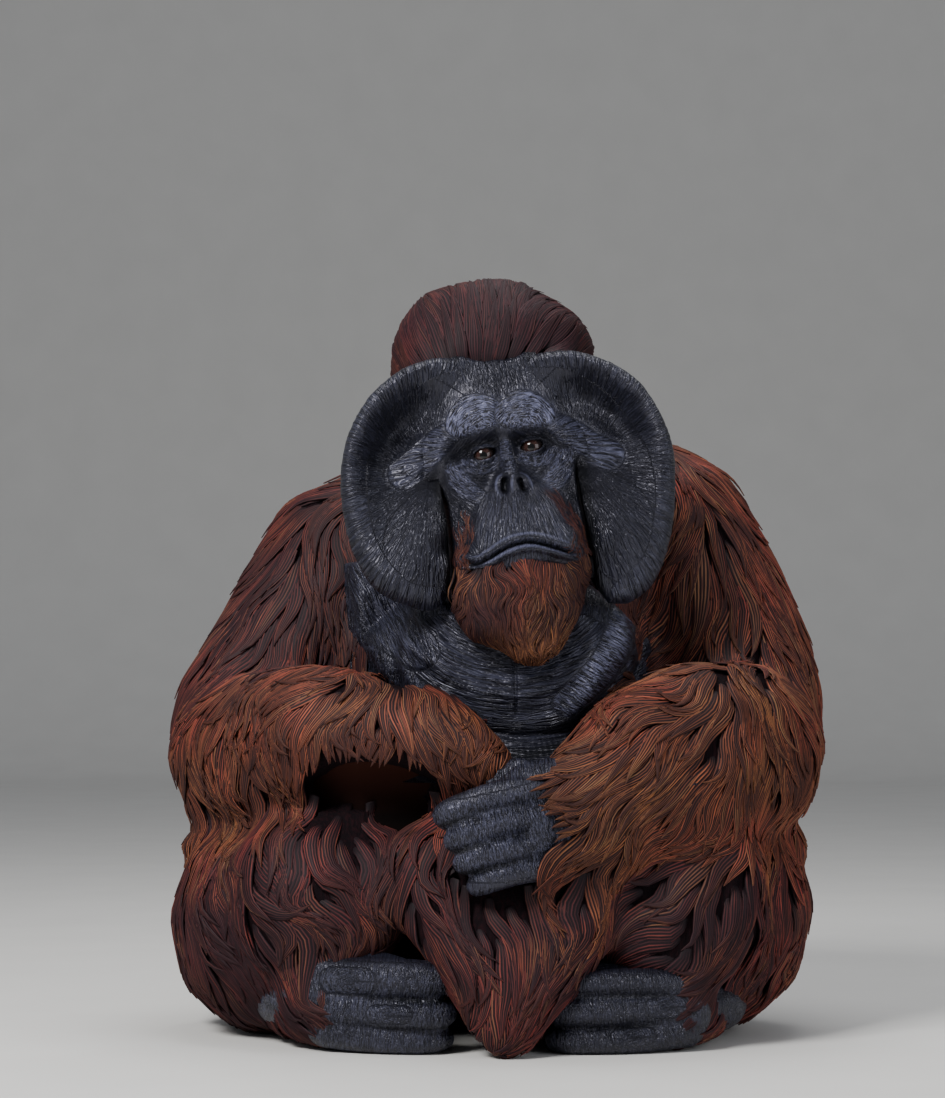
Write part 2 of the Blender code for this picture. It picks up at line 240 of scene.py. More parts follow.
def set_attribute(mesh, name, values):
    """Per-point attribute: a number, a vector or a colour by the width of the array."""
    kind, field = {1: ("FLOAT", "value"), 3: ("FLOAT_VECTOR", "vector"),
                   4: ("FLOAT_COLOR", "color")}[values.shape[1] if values.ndim > 1 else 1]
    made = mesh.attributes.new(name, kind, "POINT")
    made.data.foreach_set(field, np.asarray(values, np.float32).ravel())


def set_uv(mesh, name, places):
    """UV map from one place for each point."""
    corner = np.empty(len(mesh.loops), np.int32)
    mesh.loops.foreach_get("vertex_index", corner)
    layer = mesh.uv_layers.new(name=name)
    layer.uv.foreach_set("vector", places[corner].astype(np.float32).ravel())


def new_object(name, data):
    """Object of the data, linked to the scene."""
    made = bpy.data.objects.new(name, data)
    bpy.context.scene.collection.objects.link(made)
    return made


def evaluated(holder):
    """The object as its modifiers leave it."""
    return holder.evaluated_get(bpy.context.evaluated_depsgraph_get())


def add_piece(name, mesh, material, replaces=()):
    """Object that rides on the statue and stands for the named nodes."""
    piece = new_object(name, mesh)
    if not mesh.materials:
        mesh.materials.append(material)
    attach(piece, "root")
    if replaces:
        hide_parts(*replaces)
    return piece


class Paint:
    """A material whose nodes are added one by one; a socket given as a value is linked."""

    def __init__(self, name):
        self.material = bpy.data.materials.new(name)
        self.material.use_nodes = True
        self.tree = self.material.node_tree
        self.shader = self.tree.nodes["Principled BSDF"]

    def add(self, kind, out=0, settings=None, **values):
        """Output of a new node; an underscore in a socket's name stands for a space."""
        node = self.tree.nodes.new(kind)
        for key, value in (settings or {}).items():
            setattr(node, key, value)
        for key, value in values.items():
            self.put(node, key.replace("_", " "), value)
        return node.outputs[out]

    def put(self, node, key, value):
        """Link or set a socket, named or numbered as in "in 0"."""
        socket = node.inputs[int(key[3:])] if key.startswith("in ") else node.inputs[key]
        if isinstance(value, bpy.types.NodeSocket):
            self.tree.links.new(value, socket)
        else:
            socket.default_value = value

    def attribute(self, name, out="Color"):
        """An attribute of the mesh."""
        return self.add("ShaderNodeAttribute", out=out, settings={"attribute_name": name})

    def parts(self, colour):
        """Red, green and blue of a colour."""
        node = self.tree.nodes.new("ShaderNodeSeparateColor")
        self.tree.links.new(colour, node.inputs[0])
        return tuple(node.outputs)[:3]

    def math(self, operation, one, other=0.0, clamp=False):
        """Two values joined by a named operation."""
        return self.add("ShaderNodeMath", settings={"operation": operation, "use_clamp": clamp},
                        in_0=one, in_1=other)

    def times(self, one, other, clamp=False):
        """Product of two values."""
        return self.math("MULTIPLY", one, other, clamp)

    def fit(self, value, low, high, to_low=0.0, to_high=1.0):
        """Value moved from low..high to to_low..to_high, and kept there."""
        node = self.tree.nodes.new("ShaderNodeMapRange")
        for index, item in enumerate((value, low, high, to_low, to_high)):
            self.put(node, f"in {index}", item)
        return node.outputs[0]

    def mix(self, share, one, other):
        """Colour that goes from one to the other with the share."""
        node = self.tree.nodes.new("ShaderNodeMix")
        node.data_type = "RGBA"
        colours = [(*item, 1.0) if isinstance(item, (tuple, list)) and len(item) == 3 else item
                   for item in (one, other)]
        for index, item in ((0, share), (6, colours[0]), (7, colours[1])):
            self.put(node, f"in {index}", item)
        return node.outputs[2]

    def noise(self, vector, scale, detail=2.0, out=0):
        """Noise with 1/scale metres from hump to hump."""
        return self.add("ShaderNodeTexNoise", out=out, Vector=vector, Scale=scale, Detail=detail,
                        Roughness=0.5)

    def off_middle(self, vector, scale):
        """How far a stretched noise is from its middle value: |noise - 1/2|."""
        wave = self.noise(self.stretch(vector, scale), 1.0, 1.0)
        return self.math("ABSOLUTE", self.math("SUBTRACT", wave, 0.5))

    def place(self, scale=(1, 1, 1)):
        """Object coordinates stretched by scale."""
        return self.stretch(self.add("ShaderNodeTexCoord", out="Object"), scale)

    def stretch(self, vector, scale):
        """Vector times scale, part by part."""
        return self.add("ShaderNodeVectorMath", settings={"operation": "MULTIPLY"}, in_0=vector, in_1=scale)

    def bump(self, height, distance, strength=1.0, under=None):
        """Normal of a relief that is distance metres high, over another normal if one is given."""
        values = {"Strength": strength, "Distance": distance, "Height": height}
        if under is not None:
            values["Normal"] = under
        return self.add("ShaderNodeBump", **values)

    def finish(self, colour, roughness, normal=None, **uniform):
        """The material, with its shader's colour, roughness, normal and other values."""
        self.put(self.shader, "Base Color", colour)
        self.put(self.shader, "Roughness", roughness)
        if normal is not None:
            self.put(self.shader, "Normal", normal)
        for key, value in uniform.items():
            self.put(self.shader, key.replace("_", " "), value)
        return self.material


def sizes():
    """The sizes that a user has set."""
    return bpy.context.scene.statue_sizes


def paint_of(name, share=1.0):
    """One of the paints that a user has set, darkened to a share of it."""
    return tuple(share * part for part in getattr(bpy.context.scene.statue_colours, name))


# Noise scales of the skin paint, across and along the wrinkles in 1/m
WAVER_SCALE, WAVER_REACH = (90, 55, 1), (0.006, 0.006, 0.0)
CREASE_LAYERS = (((200, 40, 1), 9.0, 0.62), ((430, 150, 1), 8.0, 0.38))     # with sharpness and share
GLINT_SCALE = (330, 46, 1)
CREASE_HEIGHT, PORE_HEIGHT = 0.0021, 0.00025
# Colour of the painted shade in the hollows, gaps and grooves of the bare skin
PAINTED_SHADE_COLOUR = (0.0015, 0.002, 0.003)
SKIN_SHEEN = (0.86, 0.85, 1.0, 1.0)

# The same of the coat paint, across and along the strands
STREAK_SCALE, FINE_SCALE = (380, 22, 1), (1100, 60, 1)


def skin_material():
    """Satin blue-black paint over long creases, painted darker in them as shade, with a pale dry-brush
    on the skin between them that is partly painted highlight on the crests.

    A crease is where a stretched noise passes its middle value: the skin's height is
    (sharpness |noise - 1/2|)^0.6. Attributes: `grain` runs across and along the wrinkles in
    metres, `tone` holds (relief, painted shade, dry-brush) and `pale` the share of painted highlight.
    """
    found = bpy.data.materials.get("bare_skin_paint")
    if found:
        return found
    paint = Paint("bare_skin_paint")
    relief, shade, brushed = paint.parts(paint.attribute("tone"))
    pale = paint.attribute("pale", out="Fac")
    grain = paint.attribute("grain", out="Vector")
    waver = paint.noise(paint.stretch(grain, WAVER_SCALE), 1.0, 2.0, out=1)
    bent = paint.add("ShaderNodeVectorMath", settings={"operation": "MULTIPLY_ADD"},
                     in_0=waver, in_1=WAVER_REACH, in_2=grain)
    creases = []
    for scale, sharpness, _ in CREASE_LAYERS:
        away = paint.off_middle(bent, scale)
        creases.append(paint.math("POWER", paint.times(away, sharpness, clamp=True), 0.6))
    pores = paint.noise(paint.place(), 700.0, 2.0)
    cloud = paint.noise(paint.place(), 22.0, 3.0)
    coarse, fine = (paint.times(crease, layer[2]) for crease, layer in zip(creases, CREASE_LAYERS))
    net = paint.math("ADD", coarse, fine)
    height = paint.times(net, relief)
    # Pale dry-brush lines along the wrinkles, partly painted highlight on the crests and bosses; the face's
    # painted highlights are added on top
    glint = paint.off_middle(bent, GLINT_SCALE)
    lift = paint.times(paint.fit(glint, 0.015, 0.10, 1.0, 0.0), paint.fit(cloud, 0.35, 0.65, 0.45, 1.0))
    lift = paint.times(lift, brushed)
    lift = paint.math("MAXIMUM", lift, pale, clamp=True)
    # Ground coat, painted a quarter as bright in the creases as shade
    ground = paint.mix(paint.fit(net, 0.1, 0.8), paint_of("skin", 0.25), paint_of("skin"))
    colour = paint.mix(lift, ground, paint_of("skin_lit"))
    # Painted shade wherever the tone's shade is set
    colour = paint.mix(shade, colour, PAINTED_SHADE_COLOUR)
    roughness = paint.fit(cloud, 0.3, 0.7, 0.37, 0.45)
    normal = paint.bump(height, CREASE_HEIGHT, 1.0)
    normal = paint.bump(pores, PORE_HEIGHT, 0.5, normal)
    return paint.finish(colour, roughness, normal, Specular_IOR_Level=0.55, Specular_Tint=SKIN_SHEEN)


def undercoat_shade_material():
    """Dark strokes of hair relief that show between the locks, painted in darkened copies of the coat's
    groove and purple as shade.
    """
    found = bpy.data.materials.get("undercoat_paint")
    if found:
        return found
    paint = Paint("undercoat_paint")
    strands = paint.noise(paint.place((320, 320, 40)), 1.0, 2.0)
    colour = paint.mix(paint.fit(strands, 0.45, 0.7), paint_of("groove", 0.6), paint_of("purple", 0.35))
    return paint.finish(colour, 0.9, paint.bump(strands, 0.002, 0.8), Specular_IOR_Level=0.08)


def coat_material(name):
    """Strand paint: dark in the grooves, brown or purple on the strands, dry-brushed red and orange.

    Attribute `lock` holds (place along the lock, height on the ridge, lowered towards the root as painted
    shade, random of the lock) and `tint` (warmth, dry-brush, redness).
    """
    found = bpy.data.materials.get(name)
    if found:
        return found
    paint = Paint(name)
    _, ridge, lot = paint.parts(paint.attribute("lock"))
    warmth, brushed, redness = paint.parts(paint.attribute("tint"))
    strand = paint.attribute("strand", out="Vector")
    streak = paint.noise(paint.stretch(strand, STREAK_SCALE), 1.0, 2.0)
    fine = paint.noise(paint.stretch(strand, FINE_SCALE), 1.0, 1.0)
    body = paint.mix(warmth, paint_of("purple"), paint_of("brown"))
    body = paint.mix(paint.fit(lot, 0.15, 0.5, 0.35, 0.0), body, paint_of("purple", 0.4))
    colour = paint.mix(paint.fit(ridge, 0.2, 0.7), paint_of("groove"), body)
    highlight = paint.mix(redness, paint_of("orange"), paint_of("red"))
    highlight = paint.mix(paint.fit(lot, 0.62, 0.8, 0.0, 0.8), highlight, paint_of("olive"))
    top = paint.times(paint.fit(ridge, 0.4, 0.85), paint.fit(streak, 0.35, 0.6))
    top = paint.times(top, brushed, clamp=True)
    colour = paint.mix(top, colour, highlight)
    normal = paint.bump(fine, 0.0006, 0.6)
    return paint.finish(colour, paint.fit(streak, 0.3, 0.7, 0.56, 0.72), normal, Specular_IOR_Level=0.16)


# The surface that the coat lies on

def joined(parts):
    """Points and triangles of several parts as one pair of arrays."""
    shifts = np.cumsum([0, *(len(points) for points, _ in parts[:-1])])
    return (np.concatenate([points for points, _ in parts]),
            np.concatenate([triangles + shift for (_, triangles), shift in zip(parts, shifts)]))


def node_arrays(nodes):
    """Points and triangles of these nodes' meshes as one pair of arrays."""
    parts = []
    for node in nodes:
        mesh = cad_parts[node].data
        mesh.calc_loop_triangles()
        corners = np.empty(len(mesh.loop_triangles) * 3, np.int32)
        mesh.loop_triangles.foreach_get("vertices", corners)
        parts.append((mesh_points(mesh), corners.reshape(-1, 3)))
    return joined(parts)


WELD_GAP = 0.0001           # distance below which points are joined


def remeshed(name, arrays, fineness, inset=0.0):
    """One closed smooth skin round overlapping solids' points and triangles, moved inwards by inset."""
    voxel, rounds = fineness
    holder = new_object(name, new_mesh(name, arrays[0], (), arrays[1]))
    weld = holder.modifiers.new("weld", "WELD")
    weld.merge_threshold = WELD_GAP
    remesh = holder.modifiers.new("remesh", "REMESH")
    remesh.mode, remesh.voxel_size, remesh.use_smooth_shade = "VOXEL", voxel, True
    relax = holder.modifiers.new("relax", "SMOOTH")
    relax.factor, relax.iterations = 0.5, rounds
    if inset:
        sink = holder.modifiers.new("sink", "DISPLACE")
        sink.strength, sink.mid_level = -inset, 0.0
    made = bpy.data.meshes.new_from_object(evaluated(holder))
    made.name = name
    bpy.data.objects.remove(holder)
    made.shade_smooth()
    return made


# Hollows and swellings of the surfaces: centre, radii and push in mm
HULL_SHAPES = [(-142, -300, 297, 96, 75, 34, 0, 90, 0), (-205, -240, 287, 46, 60, 22, 0, 45, 0)]
COAT_SHAPES = [(-88, -110, 842, 72, 140, 66, -9, 0, 2), (102, -110, 845, 72, 140, 70, 11, 0, 1),
               (-360, -50, 240, 60, 120, 38, -20, 0, 0), (378, -50, 292, 50, 110, 32, -14, 0, 0),
               (365, -60, 226, 60, 120, 36, 12, 0, 0)]
BEARD_SHAPES = [(-30, -270, 484, 48, 90, 58, -14, -3, -2), (92, -270, 480, 40, 90, 40, 4, -2, 0)]

# Places that the locks stop short of: centre and radii in mm
BARE_PLACES = np.array([
    (-142, -300, 298, 84, 190, 26), (-6, -375, 243, 66, 60, 62), (-112, -200, 480, 52, 140, 66),
], float)


def shaped(points, shapes):
    """Points pushed by the shapes: push (1 - q⁴)², with q the distance from the centre over the radii."""
    moved = points / MM
    for row in np.array(shapes, float):
        q = np.minimum((((moved - row[:3]) / row[3:6]) ** 2).sum(1), 1)
        moved = moved + row[6:] * ((1 - q ** 2) ** 2)[:, None]
    return moved * MM


def coat_hull():
    """Smooth closed surface through the tips of the coat, as a hidden object that is removed at the end."""
    return bpy.data.objects.get("hull") or hidden_surface(
        "hull", BODY_NODES + HEAD_NODES + HAND_NODES_LEFT + TOP_OF_FEET, HULL_FINENESS, COAT_SHAPES)


def hidden_surface(name, nodes, fineness, shapes, inset=0.0):
    """Smooth surface round the nodes as an object that isn't rendered."""
    mesh = remeshed(name, node_arrays(nodes), fineness, inset)
    move_points(mesh, shaped(mesh_points(mesh), shapes))
    made = new_object(name, mesh)
    made.hide_render = True
    return made


SHORTEST_LOCK = 0.2         # share of a lock that has to lie before a bare place


def trimmed(centres, normals, lengths):
    """Locks cut off before their first ring in a bare place; very short ones are left out.

    A lock keeps the share (first ring inside - 1/2) / (rings - 1), and its rings are spread over it.
    """
    inside = np.zeros(centres.shape[:2], bool)
    for row in BARE_PLACES:
        inside |= (((centres / MM - row[:3]) / row[3:]) ** 2).sum(-1) < 1
    last = LOCK_ROWS - 1
    share = np.where(inside.any(1), (inside.argmax(1) - 0.5) / last, 1.0)
    kept = share > SHORTEST_LOCK
    centres, normals, share = centres[kept], normals[kept], share[kept]
    place = np.linspace(0, 1, LOCK_ROWS)[None] * share[:, None] * last
    low = np.minimum(place.astype(int), last - 1)
    part = (place - low)[..., None]
    rows = np.arange(len(share))[:, None]
    return (centres[rows, low] * (1 - part) + centres[rows, low + 1] * part,
            unit(normals[rows, low] * (1 - part) + normals[rows, low + 1] * part), lengths[kept] * share)


def settle(points, hull):
    """Nearest points of the hull, and its normals there."""
    holder = new_object("settle", new_mesh("settle", points, ()))
    wrap = holder.modifiers.new("wrap", "SHRINKWRAP")
    wrap.target, wrap.wrap_method, wrap.wrap_mode = hull, "NEAREST_SURFACEPOINT", "ABOVE_SURFACE"
    found = []
    for offset in (0.0, MM):
        wrap.offset = offset
        found.append(mesh_points(evaluated(holder).data))
    mesh = holder.data
    bpy.data.objects.remove(holder)
    bpy.data.meshes.remove(mesh)
    return found[0], unit(found[1] - found[0])


# Combing: place (mm) and heading of the coat; what lies between follows the nearest guides
COMB = np.array([
    # right shoulder and upper arm
    (-150, 0, 690, -0.7, 0, -0.6), (-235, 20, 640, -0.6, 0, -0.8), (-290, 0, 560, -0.55, 0, -0.85),
    (-340, -20, 480, -0.45, 0, -0.9), (-385, -50, 400, -0.2, 0, -1), (-180, -80, 560, 0.1, 0, -1),
    (-190, -90, 500, 0.15, 0, -1), (-240, -80, 490, -0.15, -0.1, -1), (-165, -120, 470, 0.35, -0.2, -0.9),
    # right forearm
    (-330, -120, 400, -0.5, 0, -0.85), (-380, -80, 350, -0.15, 0, -1), (-370, -100, 290, 0.1, 0, -1),
    (-280, -200, 400, -0.6, -0.2, -0.75), (-300, -200, 330, -0.35, 0, -0.95),
    (-220, -250, 400, -0.45, -0.2, -0.85), (-230, -270, 340, -0.2, 0, -1),
    (-160, -280, 400, -0.15, -0.3, -0.95), (-150, -300, 340, -0.05, 0, -1),
    (-100, -310, 390, 0.25, -0.2, -0.95), (-90, -320, 330, 0.15, 0, -1),
    (-50, -320, 370, 0.5, -0.2, -0.8), (-20, -330, 340, 0.6, 0, -0.7),
    (-290, -120, 425, -0.4, -0.8, -0.3), (-200, -180, 425, -0.3, -0.9, -0.3),
    (-110, -230, 410, 0.0, -0.9, -0.3), (-50, -270, 395, 0.3, -0.9, -0.3),
    # back and rump
    (0, 200, 700, 0, 0.5, -0.85), (0, 320, 500, 0, 0, -1), (0, 340, 250, 0, 0, -1),
    (-200, 250, 500, -0.25, 0, -1), (200, 250, 500, 0.25, 0, -1), (-280, 150, 400, -0.1, 0, -1),
    (280, 150, 400, 0.1, 0, -1), (-280, 250, 200, 0, 0, -1), (280, 250, 200, 0, 0, -1),
    (-330, 60, 300, 0, 0, -1), (330, 60, 300, 0, 0, -1),
    # left shoulder and upper arm
    (160, 0, 720, 0.75, 0, -0.5), (250, 10, 700, 0.6, 0, -0.75), (300, 0, 620, 0.35, 0, -0.95),
    (340, -10, 540, 0.3, 0, -0.95), (385, -40, 440, 0.25, 0, -1), (220, -80, 600, 0.1, -0.1, -1),
    (210, -90, 540, -0.1, 0, -1), (200, -100, 490, -0.25, 0, -0.95), (270, -90, 520, 0.05, 0, -1),
    (310, -90, 470, 0.15, 0, -1),
    # left forearm, which fans out from the crook of the elbow
    (317, -140, 430, 0.1, -0.3, -1), (365, -110, 400, 0.45, 0, -0.9), (390, -90, 340, 0.1, 0, -1),
    (375, -110, 280, -0.15, 0, -1), (340, -170, 380, 0.15, 0, -1), (330, -190, 320, -0.05, 0, -1),
    (300, -230, 270, -0.2, 0, -1), (280, -220, 400, -0.3, -0.2, -0.95), (260, -250, 340, -0.25, 0, -1),
    (240, -250, 420, -0.6, -0.2, -0.7), (210, -290, 360, -0.35, 0, -0.95), (200, -280, 300, -0.3, 0, -1),
    (170, -300, 380, -0.75, -0.1, -0.5), (140, -330, 330, -0.7, 0, -0.7), (110, -340, 340, -0.9, 0, -0.3),
    (100, -350, 290, -0.85, 0, -0.45), (110, -340, 240, -0.7, 0, -0.7), (160, -310, 240, -0.35, 0, -0.9),
    (220, -270, 230, -0.2, 0, -1),
    (290, -120, 445, 0, -0.9, -0.3), (230, -180, 445, -0.4, -0.8, -0.3), (150, -240, 400, -0.7, -0.6, -0.2),
    # right leg
    (-250, -120, 290, -0.05, -0.95, -0.3), (-150, -160, 270, 0, -0.95, -0.3),
    (-390, -100, 180, -0.1, 0, -1), (-380, -100, 100, 0, 0, -1), (-320, -170, 200, -0.1, 0, -1),
    (-310, -180, 120, 0.05, 0, -1), (-250, -240, 220, 0.1, 0, -1), (-230, -260, 140, 0.3, 0, -0.95),
    (-180, -280, 230, 0.05, 0, -1), (-160, -300, 160, 0.4, 0, -0.9), (-110, -310, 240, 0.1, 0, -1),
    (-100, -330, 150, 0.45, 0, -0.9),
    # lap
    (-40, -330, 170, 0.2, 0, -1), (-40, -350, 100, 0.45, 0, -0.9), (0, -360, 140, 0, 0, -1),
    (5, -370, 60, 0, 0, -1), (50, -350, 130, -0.15, 0, -1), (50, -350, 70, -0.3, 0, -1),
    (110, -330, 180, -0.1, 0, -1), (110, -320, 120, -0.3, 0, -0.95),
    # left leg
    (250, -120, 300, 0, -0.95, -0.3), (150, -160, 280, 0, -0.95, -0.3), (0, -200, 300, 0, -0.95, -0.3),
    (180, -290, 190, -0.3, 0, -0.9), (170, -290, 120, -0.75, 0, -0.6), (250, -250, 200, 0.1, 0, -1),
    (250, -250, 130, -0.5, 0, -0.85), (320, -190, 200, 0.1, 0, -1), (320, -190, 100, -0.35, 0, -0.95),
    (380, -110, 200, 0.05, 0, -1), (370, -110, 100, -0.15, 0, -1), (310, -150, 40, -0.4, 0, -0.9),
    # crown and nape, which fan out from the middle of the forehead
    (-12, -185, 830, 0, 0.2, 1), (-70, -170, 830, -0.6, 0.1, 0.8), (60, -170, 835, 0.7, 0.1, 0.7),
    (-110, -130, 800, -0.85, 0.3, 0.2), (110, -130, 810, 0.9, 0.3, 0.1), (0, -120, 885, 0, 0.9, 0.4),
    (0, -60, 890, 0, 1, -0.1), (0, 20, 840, 0, 0.6, -0.8), (-90, -60, 850, -0.5, 0.8, -0.2),
    (90, -60, 850, 0.5, 0.8, -0.2), (-110, 20, 760, -0.2, 0.4, -0.9), (110, 20, 760, 0.2, 0.4, -0.9),
    (0, 40, 700, 0, 0.3, -1),
], float)
# Guides of the beard, in the head's frame
BEARD_COMB = np.array([
    (-70, -20, -120, -0.25, 0, -1), (-40, -40, -130, 0, 0, -1), (0, -50, -135, 0.05, 0, -1),
    (40, -40, -140, -0.05, 0, -1), (64, -20, -140, 0.1, 0, -1), (-66, -20, -170, 0.3, 0, -1),
    (-30, -40, -180, 0.1, 0, -1), (10, -45, -185, -0.1, 0, -1), (48, -25, -185, -0.5, 0, -1),
    (-50, -20, -208, 0.7, 0, -0.8), (-20, -30, -220, 0.3, 0, -1), (24, -25, -218, -0.6, 0, -0.8),
    (-8, -20, -240, 0, 0, -1), (-80, 40, -150, 0, 0.2, -1), (75, 40, -150, 0, 0.2, -1),
    (-62, -10, -60, -0.35, 0, -1), (-76, 0, -90, -0.15, 0, -1), (50, -15, -55, 0.6, 0, -1),
    (68, 0, -85, 0.3, 0, -1), (76, 0, -115, 0.1, 0, -1),
], float)
COMB = np.vstack([COMB, np.column_stack([in_head(BEARD_COMB[:, :3]) / MM,
                                         BEARD_COMB[:, 3:] @ np.array(HEAD.to_3x3()).T])])
COMB_SOFTNESS = 16.0        # mm within which guides blend evenly


def combed(points):
    """Heading at each point: the guides' headings weighed by the inverse fourth power of the distance."""
    gap = ((points[:, None] / MM - COMB[None, :, :3]) ** 2).sum(2) + COMB_SOFTNESS ** 2
    return unit((gap ** -2) @ unit(COMB[:, 3:]))


# Locks: spacing of the roots, length and width in mm, ridges across, height of the arch, sway of the
# flow and turn at the tip in radians, how far the tip stands off, share of the tip that hangs free,
# and the paints: warmth, dry-brush and redness
Coat = namedtuple("Coat", "nodes spacing length width ridges arch sway curl stand hang "
                          "warmth brushed redness")
LAP_NODES = ("shin_right", "shin_left", "lap_coat", "belly", *TOP_OF_FEET)
COATS = {f"coat_{region}": Coat(nodes, *numbers) for region, nodes, *numbers in (
    ("forearm_right", ("forearm_right",), 13, 105, 20, 6, 1.7, 0.8, 0.8, 1.5, 0.45, 0.8, 1.0, 0.72),
    ("forearm_left", ("forearm_left",), 14, 100, 20, 6, 1.8, 1.0, 0.8, 1.5, 0.1, 0.85, 1.0, 0.5),
    ("upper_arm_right", ("upper_arm_right",), 15.5, 130, 22, 6, 1.6, 0.65, 0.35, 1.0, 0.1, 0.15, 0.4, 0.85),
    ("upper_arm_left", ("upper_arm_left",), 16, 130, 22, 6, 1.6, 0.75, 0.4, 1.0, 0.1, 0.5, 1.0, 0.8),
    ("thigh_right", ("thigh_right",), 15.5, 155, 22, 6, 1.8, 0.65, 0.5, 1.5, 0.2, 0.0, 0.4, 0.95),
    ("thigh_left", ("thigh_left",), 15.5, 130, 22, 6, 1.8, 1.0, 0.7, 1.5, 0.2, 0.2, 0.8, 0.9),
    ("lap", LAP_NODES, 17.4, 118, 23, 6, 2.0, 1.05, 0.8, 2.0, 0.3, 0.05, 0.45, 0.95),
    ("back_right", ("back",), 28, 150, 34, 9, 2.0, 0.5, 0.3, 2.0, 0.0, 0.3, 0.5, 0.75),
    ("back_left", ("back",), 28, 150, 34, 9, 2.0, 0.5, 0.3, 2.0, 0.0, 0.3, 0.5, 0.75),
    ("rump", ("rump",), 32, 160, 38, 9, 2.0, 0.5, 0.3, 2.0, 0.0, 0.25, 0.5, 0.7),
    ("crown", ("crown", "nape", "neck", "head"), 12, 110, 20, 6, 0.5, 0.14, 0.0, 0.0, 0.0, 0.0, 0.13, 0.9),
    ("beard", ("beard", "muzzle"), 5.4, 56, 9.0, 4, 1.5, 1.5, 0.5, 0.8, 0.0, 0.28, 0.56, 0.55),
    ("cheeks", ("muzzle",), 3.5, 26, 5.6, 3, 0.9, 1.1, 0.5, 0.5, 0.0, 0.25, 0.26, 0.35),
)}
# Line under the lower lip that the beard starts at, (u, v)
BEARD_LINE = [(-86, -111), (-80, -126), (-72, -139), (-55, -141), (-36, -134), (-18, -127),
              (0, -125), (17, -129), (35, -136), (54, -142), (66, -134), (74, -112)]
BEARD_TIP = -250            # height below which no lock of the beard reaches
BEARD_GOLD = (-246, -196)   # heights between which it turns golden
BEARD_MIDDLE, BEARD_BROWN = -8, (18, 60)    # and distances from its middle between which it turns brown
COAT_REACH, LONG_REACH = 0.009, 0.026     # how far the coat's surface may lie from the solids
LONG_REACHING = ("coat_beard", "coat_thigh_right", "coat_lap", "coat_crown")
BEARD_SWELL = 0.005         # how far the coat's surface stands out of the solid's
CHEEK_STRIPS = [[(-56, -64, 8), (-66, -84, 14), (-76, -106, 13), (-82, -128, 12)],
                [(36, -58, 11), (50, -80, 15), (60, -104, 14), (68, -130, 13)]]    # (u, v, half width)
CHEEK_BOX = ((-95, 84), (-138, -46))      # ranges of u and v round the strips
CHEEK_DRAWS = 9000          # points drawn over the box before they are thinned
CHEEK_SHARE = 0.12          # height of the strips' strokes inside which roots are kept
ROOT_DRAWS = 9              # points drawn on the solids for each square of the spacing
CROWN_FRONT = -0.055        # y behind which the head is hairy below the hair line too
LAP_TOP = -300              # height in the head's frame below which the lap is hairy
LAP_MIDDLE, LAP_SIDE, LAP_HALF, LAP_FOOT = 0.005, 0.19, 0.09, 0.09     # the toes between them stay bare
HAIR_LINE = [(-118, 100), (-68, 114), (-31, 110), (-9, 104), (8, 100), (26, 101), (61, 102), (118, 88)]
BEARD_BACK = 30             # depth behind which the beard has no roots
BEARD_MARGIN = 3            # mm that its roots reach over its line, and keep off the gaps


def in_coat(name, points):
    """Which of the points of a coat's nodes are hairy."""
    local = from_head(points)
    if name == "coat_crown":
        return (points[:, 1] > CROWN_FRONT) | (local[:, 2] > side_line(HAIR_LINE, local[:, 0]))
    if name == "coat_beard":
        gap = np.maximum(side_line(GAP_LINES[-1], local[:, 2]) - local[:, 0],
                         local[:, 0] - side_line(GAP_LINES[1], local[:, 2]))
        low = local[:, 2] < side_line(BEARD_LINE, local[:, 0]) + BEARD_MARGIN
        return low & (local[:, 1] < BEARD_BACK) & (gap < -BEARD_MARGIN)
    if name == "coat_lap":
        aside = np.abs(points[:, 0] - LAP_MIDDLE)
        by_toes = (points[:, 2] <= LAP_FOOT) & (aside <= LAP_SIDE) & (aside >= LAP_HALF)
        return (local[:, 2] < LAP_TOP) & ~by_toes
    if name == "coat_back_right":
        return points[:, 0] < 0
    if name == "coat_back_left":
        return points[:, 0] >= 0
    return np.ones(len(points), bool)


LOCK_ROWS = 11              # rings along a lock
FLOOR_GAP = 0.0005          # height of the lowest hair over the floor
LOCK_SINK, LOCK_RISE = 4.5, 3.0   # mm below the hull at the root, and above it at the tip
LOCK_PATCH = 0.003          # size of a lock's patch on the baking map
SHORT_WAVE, LONG_WAVE, CURL_PATCH = 0.038, 0.11, 0.045    # metres over which the flow and the curls turn
TINT_PATCH, BRUSH_PATCH = 0.06, 0.035                     # metres over which the paints change
ROOT_BACK = 0.12            # share of a lock that lies before its root's place
LAYER_SPREAD = 0.4          # how far whole locks lie higher or lower, over the height of the arch
LOCK_BED = 1.5              # mm that every lock is pressed into the hull


def spread(name, nodes, spacing, hull, rng):
    """Roots: points drawn evenly over the nodes' triangles, kept where the hull shows them and thinned."""
    points, triangles = node_arrays(nodes)
    corners = points[triangles]
    area = np.linalg.norm(np.cross(corners[:, 1] - corners[:, 0], corners[:, 2] - corners[:, 0]), axis=1)
    count = int(area.sum() / 2 / (spacing * MM) ** 2 * ROOT_DRAWS)
    pick = rng.choice(len(triangles), count, p=area / area.sum())
    share = rng.random((count, 2))
    share = np.where(share.sum(1, keepdims=True) > 1, 1 - share, share)
    found = (corners[pick, 0] + share[:, :1] * (corners[pick, 1] - corners[pick, 0])
             + share[:, 1:] * (corners[pick, 2] - corners[pick, 0]))
    on, _ = settle(found, hull)
    near = LONG_REACH if name in LONG_REACHING else COAT_REACH
    shown = (np.linalg.norm(on - found, axis=1) < near) & in_coat(name, on)
    return thinned(on[shown], spacing)


